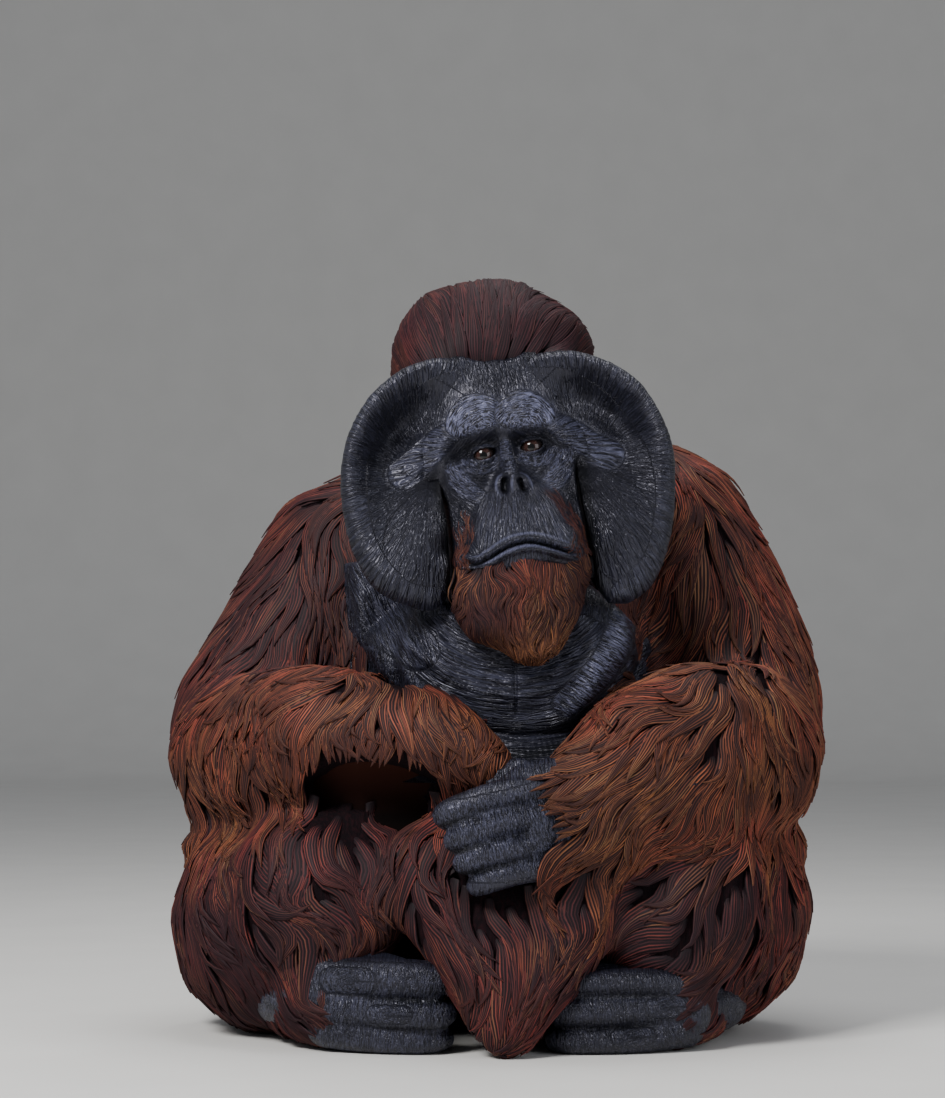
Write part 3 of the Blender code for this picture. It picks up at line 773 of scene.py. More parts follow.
def cheek_roots(spacing, rng):
    """Roots of the fuzz beside the muzzle: points drawn evenly, kept in the strips and thinned."""
    u, v = (rng.uniform(*ends, CHEEK_DRAWS) for ends in CHEEK_BOX)
    inside = sum(stroke(u, v, [(*row, 1.0) for row in rows]) for rows in CHEEK_STRIPS) > CHEEK_SHARE
    u, v = u[inside], v[inside]
    return thinned(in_head(np.stack([u, face_front(u, v), v], 1)), spacing)


def thinned(left, spacing):
    """The points in their order, without those nearer than the spacing to an earlier one."""
    kept = []
    while len(left):
        kept.append(left[0])
        left = left[((left - left[0]) ** 2).sum(1) > (spacing * MM) ** 2]
    return np.array(kept)


def lock_paths(roots, lengths, coat, hull, rng):
    """Rings' centres and normals of every lock, as two arrays (lock, ring, 3).

    Each step follows the combed heading laid flat on the hull, turned by a slow noise of
    the place, which neighbours share, and by a curl of the lock's own at the tip. It's
    then settled on the hull, less firmly towards a hanging tip.
    """
    steps = LOCK_ROWS - 1
    on, normal = settle(roots, hull)
    on, normal = settle(on - combed(on) * (ROOT_BACK * lengths)[:, None], hull)
    own = 0.05 * rng.normal(size=len(roots))
    curl = coat.curl * (noise(roots / CURL_PATCH, 11) * 1.6 + 0.35 * rng.normal(size=len(roots)))
    wave = SHORT_WAVE * min(coat.length / 100, 1)
    centres, normals = [on], [normal]
    for step in range(1, LOCK_ROWS):
        t = step / steps
        heading = combed(on)
        flow = 0.9 * noise(on / wave, 21) + 0.6 * noise(on / LONG_WAVE, 23)
        turn = coat.sway * flow + own * t + curl * t ** 3
        lay = 1 - coat.hang * t
        heading = unit(heading - lay * (heading * normal).sum(1, keepdims=True) * normal)
        aside = np.cross(normal, heading)
        heading = heading * np.cos(turn)[:, None] + aside * np.sin(turn)[:, None]
        free = on + heading * (lengths / steps)[:, None]
        nearest, fresh = settle(free, hull)
        on = free + (nearest - free) * (1 - coat.hang * t ** 1.5)
        normal = unit(normal + (fresh - normal) * 0.7)
        centres.append(on)
        normals.append(normal)
    return np.stack(centres, 1), np.stack(normals, 1)


STRAND_DEPTH = 0.55         # height of a ridge over the strands' pitch


def ribbon_faces(rows, columns):
    """Corners of one ribbon: the four-sided cells of its back and underside, and the fans of its ends."""
    i, j = np.arange(rows - 1), np.arange(columns - 1)
    under = np.stack([i * columns, (i + 1) * columns, (i + 1) * columns + columns - 1,
                      i * columns + columns - 1], 1)
    base, first, last = (rows - 1) * columns, rows * columns, rows * columns + 1
    fans = np.concatenate([np.stack([j + 1, j, np.full_like(j, first)], 1),
                           np.stack([base + j, base + j + 1, np.full_like(j, last)], 1),
                           [[0, columns - 1, first], [base + columns - 1, base, last]]])
    return np.concatenate([grid_faces(rows, columns), under]), fans


def lock_mesh(name, centres, normals, coat, lengths, rng):
    """Closed ribbons with ridged backs, carried along the locks' paths.

    Across the ribbon, x runs from -1 to 1 and the height is
    arch (1 - x²) - 0.7 arch |x|⁴ + ridge, where the ridge alternates between groove and
    crest. The width opens from 0.6 at the root, is full at 0.3 of the length and closes
    from a quarter on as (1 - s^1.5)^0.95, a rounded point at the tip.
    """
    count, rows = centres.shape[:2]
    columns = 2 * coat.ridges + 1
    t = np.linspace(0, 1, rows)[None, :, None]
    x = np.linspace(-1, 1, columns)[None, None, :]
    along = unit(np.gradient(centres, axis=1))
    side = unit(np.cross(normals, along))
    up = np.cross(along, side)
    scale = (lengths / lengths.mean())[:, None, None]
    width = coat.width * MM / 2 * rng.uniform(0.8, 1.2, count)[:, None, None] * scale ** 0.5
    open_out = 0.6 + 0.4 * smoothstep(0, 0.3, t)
    close = (1 - np.clip((t - 0.25) / 0.75, 0, 1) ** 1.5) ** 0.95
    half = width * open_out * np.maximum(close, 0.03)
    crest = np.where(np.arange(columns) % 2 == 1, 1.0, 0.0)[None, None, :]
    luck = rng.random((count, 1, columns))
    uneven = 0.55 + 0.45 * luck
    deep = STRAND_DEPTH * sizes().strand_pitch * np.minimum(
        half / (coat.ridges * sizes().strand_pitch / 2), 1) * smoothstep(0, 0.1, t)
    lean = coat.arch * MM * np.minimum(close, 1) * (1 - x ** 2)
    edge = -0.7 * coat.arch * MM * np.abs(x) ** 4
    layer = rng.uniform(-LAYER_SPREAD, LAYER_SPREAD, count)[:, None, None] * coat.arch * MM
    size = min(coat.length / 100, 1)
    rise = LOCK_RISE * min(coat.arch / 1.5, 1)
    shingle = size * ((-LOCK_SINK + (LOCK_SINK + rise) * t) - 4 * (1 - smoothstep(0, 0.14, t))) * MM
    stand = coat.stand * MM * smoothstep(0.55, 1.0, t) * rng.uniform(-0.5, 1.2, count)[:, None, None]
    height = lean + edge + layer + shingle + stand + deep * (crest * uneven - 0.5)
    place = (centres[:, :, None] + side[:, :, None] * (half * x)[..., None]
             + up[:, :, None] * (height - LOCK_BED * size * MM)[..., None])
    ends = np.stack([centres[:, 0] - along[:, 0] * 2 * MM - up[:, 0] * size * sizes().coat_depth,
                     centres[:, -1] + along[:, -1] * half[:, -1] * 1.5
                     + up[:, -1] * (height[:, -1, coat.ridges] - LOCK_BED * size * MM)[:, None]], 1)
    each = rows * columns + 2
    points = np.concatenate([place.reshape(count, -1, 3), ends], 1).reshape(-1, 3)
    points[:, 2] = np.maximum(points[:, 2], FLOOR_GAP)
    quads, fans = ribbon_faces(rows, columns)
    shift = (np.arange(count) * each)[:, None, None]
    mesh = new_mesh(name, points, (quads[None] + shift).reshape(-1, 4), (fans[None] + shift).reshape(-1, 3))
    lot = rng.random(count)[:, None]

    def flat(values):
        """Values of the ribbons' points with those of the two end points after them."""
        values = np.broadcast_to(values, (count, rows, columns)).reshape(count, -1)
        return np.concatenate([values, np.zeros((count, 1)), np.ones((count, 1))], 1)

    # Height on the ridge, lowered towards the root as painted shade under the locks above; the two end
    # points are set at 0.3
    ridge = flat(crest * uneven * (0.3 + 0.7 * smoothstep(0, 0.16, t)))
    ridge[:, -2:] = 0.3
    distance = flat(t)
    chance = 0.55 * flat(luck) + 0.45 * lot
    lock = np.stack([distance, ridge, chance, np.ones_like(distance)], -1)
    set_attribute(mesh, "lock", lock.reshape(-1, 4))
    patch = noise(points / TINT_PATCH, 31).reshape(count, -1)
    second = noise(points / BRUSH_PATCH, 47).reshape(count, -1)
    if name == "coat_beard":
        local = from_head(centres)
        gold = flat((1 - smoothstep(*BEARD_GOLD, local[..., 2]))[..., None])
        side_brown = flat(smoothstep(*BEARD_BROWN, np.abs(local[..., 0] - BEARD_MIDDLE))[..., None])
        patch = patch - 0.9 * side_brown
        turned = 1.2 * gold + 0.35 * side_brown
    else:
        gold, turned = 0, 0
    warmth = coat.warmth + 0.4 * patch + gold + 0.15 * (lot - 0.5)
    brushed = coat.brushed * (0.8 + 0.9 * second) * (0.45 + 1.1 * chance) + 0.4 * gold
    redness = coat.redness + 0.7 * patch - 0.4 * (distance - 0.6) + 0.3 * (lot - 0.5) - turned
    tint = np.stack([*(np.clip(part, 0, 1) for part in (warmth, brushed, redness)),
                     np.ones_like(distance)], -1)
    set_attribute(mesh, "tint", tint.reshape(-1, 4))
    across = flat(half * x) + 0.05 * lot
    strand = np.stack([across, distance * lengths[:, None], np.zeros_like(across)], -1)
    set_attribute(mesh, "strand", strand.reshape(-1, 3))
    middle = centres[:, 0].mean(0)
    round_about = np.arctan2(centres[:, 0, 0] - middle[0], -(centres[:, 0, 1] - middle[1])) / (2 * pi) + 0.5
    low, high = centres[:, 0, 2].min(), centres[:, 0, 2].max()
    home = np.stack([round_about, (centres[:, 0, 2] - low) / max(high - low, 1e-6)], 1) * 0.98 + 0.01
    patch = np.stack([flat(x / 2), distance - 0.5], -1) * LOCK_PATCH
    set_uv(mesh, "OFBake", (home[:, None] + patch).reshape(-1, 2))
    return mesh


def make_coat(name):
    """Every lock of one region of the coat."""
    coat = COATS[name]
    rng = np.random.default_rng(sizes().seed + list(COATS).index(name))
    if name == "coat_cheeks":
        hull = bpy.data.objects["face_skin"]
    elif name == "coat_beard":
        hull = hidden_surface("beard_hull", coat.nodes, BEARD_FINENESS, BEARD_SHAPES, -BEARD_SWELL)
    else:
        hull = coat_hull()
    if name == "coat_cheeks":
        roots = cheek_roots(coat.spacing, rng)
    else:
        roots = spread(name, coat.nodes, coat.spacing, hull, rng)
    lengths = coat.length * MM * rng.uniform(0.75, 1.2, len(roots))
    if name == "coat_beard":
        height = (roots - np.array(HEAD.translation)) @ np.array(HEAD.to_3x3())[:, 2] / MM
        lengths = np.minimum(lengths, np.maximum(height - BEARD_TIP, 14) * MM)
    centres, normals, lengths = trimmed(*lock_paths(roots, lengths, coat, hull, rng), lengths)
    mesh = lock_mesh(name, centres, normals, coat, lengths, rng)
    add_piece(name, mesh, coat_material("coat_paint"))
    print(name, len(roots), "locks", sum(len(p.vertices) - 2 for p in mesh.polygons), "triangles")


# Skin forms. Face and flanges are drawn in the head's frame: u to the animal's left and v up,
# with the depth running back, all in millimetres

def depth_through(rows, softness):
    """Smooth depth over (u, v): a plane plus multiquadrics sqrt(r² + softness²) centred on the rows."""
    rows = np.array(rows, float)
    at, count = rows[:, :2], len(rows)

    def kernel(places):
        """Multiquadric of each place round each row."""
        return np.sqrt(((places[:, None] - at[None]) ** 2).sum(-1) + softness ** 2)

    plane = np.column_stack([np.ones(count), at])
    system = np.block([[kernel(at), plane], [plane.T, np.zeros((3, 3))]])
    weights = np.linalg.solve(system, np.append(rows[:, 2], (0, 0, 0)))

    def depth(u, v):
        """Depth at each (u, v): the weighed multiquadrics plus the plane."""
        places = np.stack([u.ravel(), v.ravel()], 1)
        flat = kernel(places) @ weights[:count] + weights[count] + places @ weights[count + 1:]
        return flat.reshape(u.shape)

    return depth


STROKE_SAMPLES = 9          # samples of a stroke's path for each of its rows


def stroke(u, v, rows):
    """Raised stroke along a path of (u, v, half width, height).

    Its height is height (1 - q²)², where q is the distance from the path over the half width.
    """
    path = smooth_path(rows, STROKE_SAMPLES * len(rows))
    gap = np.hypot(u[..., None] - path[:, 0], v[..., None] - path[:, 1]) / path[:, 2]
    nearest = gap.argmin(-1)
    q = np.minimum(np.take_along_axis(gap, nearest[..., None], -1)[..., 0], 1)
    return path[nearest, 3] * (1 - q ** 2) ** 2


# Wrinkle patterns: rays from a centre, rings round it, or lines at an angle; with the spacing and
# length of the wrinkles, their depth, the share of dry-brush, and the stroke of skin that they cover
Grain = namedtuple("Grain", "kind centre spacing length depth brushed rows")
PAINT_SPACING, PAINT_LENGTH = 4.5, 26.0     # mm, of the creases in the skin paint


def grained(u, v, patterns, rest=0.15):
    """Wrinkle height, relief, dry-brush and grain coordinates of a skin, from its list of patterns.

    A pattern's height is depth (wrinkle - 0.75), and each pattern covers the earlier ones by the
    smooth share of its stroke. Relief and dry-brush fade by (2 share - 1)² where two patterns meet.
    """
    height, brushed = np.zeros(u.shape), np.full(u.shape, rest)
    grain = np.stack([u, v], -1)
    clear, leader = np.ones(u.shape), None
    for number, pattern in enumerate(patterns):
        share = smoothstep(0, 0.5, stroke(u, v, [(*row, 1.0) for row in pattern.rows]))
        du, dv = u - pattern.centre[0], v - pattern.centre[1]
        reach = np.maximum(np.hypot(du, dv), 1.0)
        if pattern.kind == "line":
            turn = radians(pattern.centre[2])
            along, across = du * cos(turn) + dv * sin(turn), dv * cos(turn) - du * sin(turn)
        else:
            first_u, first_v = pattern.rows[0][:2]
            home = np.arctan2(first_v - pattern.centre[1], first_u - pattern.centre[0])
            angle = (np.arctan2(dv, du) - home + pi) % (2 * pi) - pi
            radius = pattern.centre[2]
            across, along = ((angle * radius, radius * np.log(reach / radius)) if pattern.kind == "ray"
                             else (reach, angle * radius))
        lines = wrinkle(across, along, 1.5 * pattern.spacing, 1.7 * pattern.length, number)
        height = height + share * (pattern.depth * (lines - 0.75) - height)
        brushed = brushed + share * (pattern.brushed - brushed)
        border = 0 if pattern.centre == leader else 1 - (2 * share - 1) ** 2
        leader = pattern.centre
        clear = np.where(share > 0.5, 1, clear) * (1 - border)
        fitted = np.stack([across * PAINT_SPACING / pattern.spacing,
                           along * PAINT_LENGTH / pattern.length], -1)
        grain = np.where(share[..., None] > 0.5, fitted, grain)
    return height, 0.3 + 0.7 * clear, brushed * (0.4 + 0.6 * clear), grain * MM


FACE_DEPTHS = [
    # middle column, from the notch of the hair down to the chin
    (5, 120, 24), (5, 110, 14), (5, 100, 8), (4, 86, 3), (3, 70, -2), (0, 58, -7), (-1, 45, -11),
    (-3, 30, -12), (-3, 16, -6), (-2, -1, -9), (-1, -20, -18), (0, -38, -27), (0, -56, -38),
    (0, -80, -54), (0, -102, -62), (0, -117, -62), (0, -135, -57), (0, -155, -46),
    # brow and sockets
    (-31, 76, 0), (-31, 62, -6), (-31, 50, -11), (-31, 38, -16), (-31, 27, -19), (-31, 19, -16),
    (-31, 13, -5), (-31, 9, 2), (-15, 58, -7), (-15, 44, -12), (-15, 31, -17), (-15, 22, -16),
    (-15, 16, -8), (-15, 11, 0), (-46, 58, -4), (-46, 45, -9), (-46, 32, -14), (-47, 22, -13),
    (-48, 15, -5), (-49, 10, 2), (24, 67, 0), (24, 54, -6), (24, 43, -11), (24, 32, -16),
    (24, 23, -19), (24, 16, -16), (24, 11, -5), (24, 8, 2), (10, 52, -7), (10, 40, -12),
    (10, 28, -17), (10, 19, -16), (10, 14, -8), (10, 10, 0), (38, 50, -4), (38, 39, -9),
    (38, 27, -14), (39, 16, -13), (41, 10, -5), (42, 5, 2), (-62, 40, -4), (-62, 21, -11),
    (-63, 11, -6), (-61, 4, 2), (-76, 30, -2), (-77, 9, -8), (-74, -2, -4), (-68, -8, 2),
    (-90, 18, 0), (-88, -4, -5), (-82, -14, -2), (-104, -10, 1), (54, 36, -4), (55, 15, -11),
    (56, 6, -6), (54, -3, 2), (68, 22, -2), (70, 1, -8), (67, -10, -4), (62, -18, 2), (82, 6, 0),
    (81, -18, -5), (76, -28, -2), (94, -28, 1),
    # forehead sides
    (-30, 90, 6), (-45, 74, 3), (-62, 62, 3), (34, 84, 6), (48, 68, 3), (64, 54, 3),
    # below the eyes, cheeks and sides of the muzzle
    (-27, -14, 1), (28, -15, 1), (-14, -18, -4), (12, -20, -4), (-52, -20, -5), (-62, -32, -3),
    (52, -26, -5), (58, -40, -3), (-26, -36, -8), (26, -38, -8), (-40, -50, -13), (42, -54, -13),
    (-62, -60, -3), (62, -66, -3), (-76, -34, 3), (68, -44, 3), (-76, -58, 7), (69, -68, 7),
    (-30, -64, -30), (32, -66, -30), (-50, -80, -24), (52, -86, -24), (-66, -82, -4), (65, -92, -4),
    (-38, -100, -48), (40, -104, -48), (-60, -104, -34), (60, -112, -34), (-73, -114, -24),
    (63, -128, -24), (-80, -104, 6), (73, -114, 6), (-50, -134, -38), (48, -142, -38),
    (-74, -138, -8), (66, -148, -8),
    # flange of the right cheek: rim, dish, fan and lower pillow
    (-38, 100, 4), (-56, 98, -2), (-79, 97, -4), (-105, 89, -13), (-135, 66, -17), (-157, 38, -15),
    (-173, 0, -12), (-178, -48, -12), (-173, -90, -14), (-158, -120, -16), (-138, -139, -14),
    (-115, -150, -8), (-82, 70, 14), (-106, 56, 19), (-130, 38, 20), (-150, 14, 14), (-110, 24, 10),
    (-118, 4, 6), (-136, -8, 8), (-104, 4, 1), (-98, -22, 6),
    (-126, -28, 4), (-150, -45, 0), (-120, -66, -10), (-142, -88, -11), (-104, -58, -10), (-112, -98, -16),
    (-126, -120, -16), (-96, -86, -10), (-97, -120, -7), (-92, -40, -1), (-98, -148, 0),
    # flange of the left cheek
    (40, 92, 4), (56, 88, -2), (80, 85, -4), (106, 77, -13), (140, 42, -17), (158, 4, -14), (167, -34, -12),
    (161, -82, -13), (146, -128, -16), (124, -165, -15), (103, -178, -11), (84, -176, -2),
    (80, 56, 14), (104, 44, 19), (128, 24, 20), (144, -4, 14), (104, 12, 10), (112, -10, 6), (128, -24, 8),
    (98, -10, 1), (80, -36, 6), (122, -44, 3),
    (140, -60, -1), (112, -64, -9), (132, -96, -13), (96, -58, -9), (98, -96, -14), (108, -132, -17),
    (106, -157, -15), (84, -118, -7), (85, -150, -3), (84, -50, 0),
]
FACE_SOFTNESS = 9.0

EYE_PLACES = ((-28, -3), (28, -3))
EYE_DEPTH, EYE_RADIUS, LID_RADIUS = 9.0, 13.0, 15.4
EYE_RINGS, EYE_SIDES = 40, 48
LID_BLEND = 6
LID_CUT, LID_ROLL = 11, 0.9     # mm that the openings are cut back and that their edges stand out
EYE_OPENINGS = ((-27, -1.5, 13.8, 6.6, 6), (28, -1.5, 13.8, 6.6, 2))   # middle, half sizes, tilt in degrees

MOUTH_SLIT = [(-73, -117), (-62, -125.5), (-48, -122.5), (-31, -116), (-19, -112.5), (-4.6, -111.5),
              (9.4, -115), (23, -121), (37, -127.5), (46, -131), (55, -132)]
SLIT_DEPTHS = (-4, -6) + 7 * (-6.5,) + (-5, -3)
SLIT_SHADES = ((2.2, 0.9), (2.1, 1.1)) + 7 * ((2.0, 1.1),) + ((2.0, 0.9), (2.0, 0.6))

# Strokes that stand out (or sink in, with a height below zero) from the smooth depths
FACE_FOLDS = [
    # brow ridges that run out over the flanges, and the groove between the bosses
    [(-50, 32, 22, 0.5), (-70, 24, 26, 2.5), (-88, 8, 26, 3), (-100, -8, 24, 2), (-104, -20, 18, 1)],
    [(44, 25, 22, 0.5), (62, 13, 26, 2.5), (80, -8, 26, 3), (90, -26, 24, 2), (92, -40, 18, 1)],
    [(2, 74, 8, -1), (0, 58, 8, -3), (-2, 42, 8, -4), (-3, 28, 7, -2)],
    [(7, 106, 13, 2), (5, 92, 14, 3.5), (4, 78, 13, 1)],
    # bridge, wings and middle of the nose, and the nostrils
    [(-3, 22, 12, 1.5), (-3, 6, 15, 4), (-4, -16, 17, 5), (-4, -32, 18, 4)],
    [(-7, -31, 5, 1.5), (-13, -29, 5, 2.5), (-19, -34, 5, 3), (-22, -43, 5, 3), (-20, -54, 4.5, 1.5)],
    [(1, -32, 5, 1.5), (8, -32, 5, 2.5), (15, -38, 5.5, 3), (17.5, -48, 5.5, 3), (16, -56, 5, 1.5)],
    [(-3, -34, 5, 2), (-5, -46, 4.2, 3.5), (-6, -56, 5, 2)],
    [(-11, -37, 5.2, -12), (-13, -47, 6.2, -15)], [(5.5, -41, 5.2, -12), (7.5, -50, 6.0, -15)],
    # folds over and pouches under the eyes, cheekbones
    [(-46, 1.5, 2.6, 1.5), (-38, 8.5, 2.8, 2.6), (-26, 11, 2.8, 2.6), (-12.5, 6, 2.4, 1.5)],
    [(12, 5, 2.4, 1.5), (25, 10.5, 2.8, 2.6), (38, 8.5, 2.8, 2.6), (47, 0.5, 2.6, 1.5)],
    [(-47, -8, 4, 2), (-33, -16, 5, 4), (-15, -13, 4, 2.5)],
    [(13, -12, 4, 2.5), (30, -17, 5, 4), (49, -10, 4, 2)],
    [(-52, -14, 3.5, 1), (-35, -24, 4.2, 2.6), (-15, -20, 3.5, 1.5)],
    [(13, -20, 3.5, 1.5), (33, -26, 4.2, 2.6), (52, -17, 3.5, 1)],
    [(-60, -22, 20, 2), (-54, -36, 22, 3), (-44, -48, 18, 2)],
    [(55, -30, 20, 2), (50, -44, 22, 3), (42, -56, 18, 2)],
    [(-22, -26, 9, -1), (-38, -46, 12, -3), (-58, -68, 12, -3)],
    [(20, -28, 9, -1), (38, -50, 12, -3), (56, -74, 12, -3)],
    # lips: rolled upper band, dark slit, lower lip and the corners
    [(-78, -115, 4, 2), (-60, -121, 5, 4), (-47, -117, 5.5, 5), (-27.5, -108.5, 6, 5.5),
     (-11, -106, 6, 5.5), (7, -107.5, 6, 5.5), (24, -114, 6, 5), (38, -121, 5.5, 4.5), (52, -130, 4, 2)],
    [(*place, 2.2, height) for place, height in zip(MOUTH_SLIT, SLIT_DEPTHS)],
    [(-72, -127, 4, 3), (-62, -131, 4.5, 4.5), (-47, -129, 5, 5.5), (-28, -122, 5.5, 6), (-9, -119, 5.5, 6),
     (5, -120.5, 5.5, 6), (19, -125.5, 5.5, 5.5), (36, -133.5, 5, 5), (52, -140, 3.5, 3)],
    [(-76, -108, 4, 2), (-81, -117, 4.5, 4), (-79, -126, 4, 3.5), (-70, -131, 4, 3)],
    [(54, -122, 4, 2), (60, -131, 4.5, 4), (56, -140, 4, 3)],
]

# Painted shade in the hollows: nostrils, mouth slit and the band under the brow over the eyes
FACE_SHADES = [
    [(-11, -37, 4.9, 1.3), (-13, -47, 5.7, 1.3)], [(5.5, -41, 4.9, 1.3), (7.5, -50, 5.5, 1.3)],
    [(*place, *shade) for place, shade in zip(MOUTH_SLIT, SLIT_SHADES)],
    [(-62, 0, 4.5, 0.3), (-48, 9, 4.5, 0.5), (-32, 10, 4, 0.8), (-16, 10, 5, 0.8), (-11, 3, 5, 0.6)],
    [(56, -8, 4.5, 0.3), (46, 3, 4.5, 0.5), (32, 8, 4, 0.8), (12, 9, 5, 0.8), (10, 2, 5, 0.6)],
]

# Painted highlights in pale paint along the edges of the lips, nostrils and lids
FACE_LIGHTS = [
    [(-76, -111, 2, 0.1), (-60, -117, 2.2, 0.3), (-46, -112.5, 2.4, 0.35), (-27, -104, 2.4, 0.4),
     (-11, -101.5, 2.4, 0.45), (7, -103, 2.4, 0.45), (25, -109.5, 2.4, 0.35), (39, -116.5, 2.2, 0.3),
     (53, -126, 2, 0.1)],
    [(-64, -127.5, 2, 0.2), (-47, -125.7, 2.4, 0.5), (-28, -118.8, 2.6, 0.6), (-9, -115.8, 2.6, 0.65),
     (5.4, -117, 2.6, 0.65), (19, -122.2, 2.4, 0.55), (36, -130.2, 2.2, 0.4), (53, -136.5, 2, 0.1)],
    [(-13, -29, 1.6, 0.15), (-18, -32, 2, 0.35), (-22, -41, 2.2, 0.4), (-21.5, -50, 2, 0.25),
     (-18, -55, 1.6, 0.05)],
    [(8, -31, 1.6, 0.15), (15, -36, 2, 0.35), (18, -46, 2.2, 0.4), (17, -54, 1.8, 0.1)],
    [(-2, -33, 2.5, 0.1), (-5, -43, 2.8, 0.35), (-6, -52, 2.2, 0.15)],
    [(-40, 6, 1.6, 0.15), (-27, 8.5, 1.8, 0.4), (-15, 5, 1.6, 0.15)],
    [(14, 4, 1.6, 0.15), (26, 8, 1.8, 0.4), (40, 5, 1.6, 0.15)],
    [(-38, -8, 1.4, 0.1), (-27, -9.5, 1.6, 0.35), (-16, -8, 1.4, 0.1)],
    [(16, -8, 1.4, 0.1), (28, -9.5, 1.6, 0.35), (40, -7, 1.4, 0.1)],
]

FACE_GRAIN = [
    Grain("line", (0, 0, 90), 5.0, 30, 0.15, 0.03, [(5, 110, 30), (0, 70, 45)]),
    Grain("ring", (-24, 16, 40), 4.4, 22, 0.8, 0.8, [(-50, 36, 24), (-32, 44, 34), (-14, 44, 24)]),
    Grain("ring", (20, 12, 40), 4.4, 22, 0.8, 0.8, [(8, 38, 24), (24, 40, 34), (44, 32, 24)]),
    Grain("ring", (-27, 0, 28), 3.0, 14, 0.5, 0.4, [(-50, -10, 12), (-34, -18, 12), (-14, -14, 10)]),
    Grain("ring", (28, 0, 28), 3.0, 14, 0.5, 0.4, [(14, -14, 10), (34, -20, 12), (52, -14, 12)]),
    Grain("ring", (-27, 0, 50), 3.6, 16, 0.6, 0.5, [(-66, -14, 14), (-58, -34, 18), (-42, -50, 13)]),
    Grain("ring", (28, 0, 50), 3.6, 16, 0.6, 0.55, [(64, -20, 14), (54, -38, 20), (38, -50, 14)]),
    Grain("line", (0, 0, 0), 3.6, 12, 0.4, 0.35, [(-3, 4, 10), (-4, -22, 14)]),
    Grain("ray", (0, 10, 95), 3.0, 36, 0.5, 0.16, [(0, -68, 36), (-2, -86, 70), (-3, -100, 76)]),
    Grain("line", (0, 0, 70), 3.0, 16, 0.2, 0.3, [(-76, -119, 7), (-47, -122, 9), (-8, -112, 10),
                                                  (24, -120, 9), (54, -133, 7)]),
]
RIDGE_GRAIN = {
    -1: [Grain("ray", (-30, 8, 55), 4.4, 32, 0.9, 0.26,
               [(-60, 30, 18), (-80, 18, 24), (-102, 2, 26), (-122, -8, 26)])],
    1: [Grain("ray", (28, 4, 55), 4.4, 32, 0.9, 0.42,
              [(54, 22, 18), (74, 6, 24), (94, -14, 26), (114, -26, 26)])],
}
# Wrinkles that fan out over each cheek flange: upper dish, lower pillow and rim
FLANGE_GRAIN = {
    -1: [Grain("ray", (-90, -18, 100), 5.0, 50, 0.15, 0.03, [(-140, -40, 190), (-140, -20, 190)]),
         Grain("ray", (-90, -18, 100), 5.0, 50, 0.8, 0.05,
               [(-104, -50, 30), (-122, -84, 50), (-128, -118, 50)]),
         Grain("ray", (-90, -18, 100), 5.0, 50, 0.8, 0.11,
               [(-50, 114, 22), (-92, 107, 28), (-143, 77, 31), (-180, 20, 31), (-190, -45, 30),
                (-180, -100, 28), (-152, -144, 27), (-112, -162, 26)])],
    1: [Grain("ray", (80, -32, 100), 5.0, 50, 0.15, 0.03, [(130, -60, 190), (130, -40, 190)]),
        Grain("ray", (80, -32, 100), 5.0, 50, 0.8, 0.04, [(92, -60, 30), (112, -94, 50), (112, -140, 50)]),
        Grain("ray", (80, -32, 100), 5.0, 50, 0.8, 0.09,
              [(50, 102, 22), (92, 95, 28), (139, 59, 31), (170, 4, 31), (180, -45, 30), (172, -100, 28),
               (146, -158, 27), (104, -188, 26)])],
}

# Outline of each flange, from the bottom over the outer side to the notch and back down the inner
# side behind the face: (u, v, radius of the rolled rim)
FLANGE_OUTLINES = {
    -1: [(-104, -163, 14), (-120, -167, 18), (-147, -156, 20), (-176, -133, 21), (-193, -94, 21),
         (-198, -49, 21), (-193, 3, 21), (-176, 47, 21), (-147, 83, 21), (-110, 107, 20),
         (-79, 116, 19), (-55, 116, 17), (-33, 109, 14), (-24, 90, 10), (-34, 50, 10), (-56, 14, 10),
         (-80, -14, 6), (-83, -46, 6), (-84, -80, 8), (-88, -119, 10), (-94, -148, 12)],
    1: [(84, -194, 14), (108, -197, 18), (138, -180, 20), (164, -138, 21), (180, -86, 21), (187, -34, 21),
        (179, 8, 21), (160, 50, 21), (127, 81, 21), (95, 98, 20), (66, 103, 19), (50, 103, 17),
        (36, 99, 14), (26, 80, 10), (34, 42, 10), (52, 6, 10), (72, -26, 6), (75, -59, 6),
        (76, -92, 8), (77, -130, 10), (74, -170, 12)],
}
GAP_LINES = {-1: [(-10, -84), (-46, -80), (-75, -80), (-119, -84), (-161, -84)],
             1: [(-20, 76), (-59, 74), (-92, 74), (-127, 73), (-161, 70)]}
MASK_EDGE = {-1: [(-40, -98), (-12, -108), (20, -98), (60, -70), (90, -40), (125, -30)],
             1: [(-50, 96), (-30, 102), (0, 92), (50, 66), (80, 42), (125, 38)]}


def side_line(rows, v):
    """u of a line given as (v, u) rows, at heights v."""
    order = sorted(rows)
    return np.interp(v, [row[0] for row in order], [row[1] for row in order])


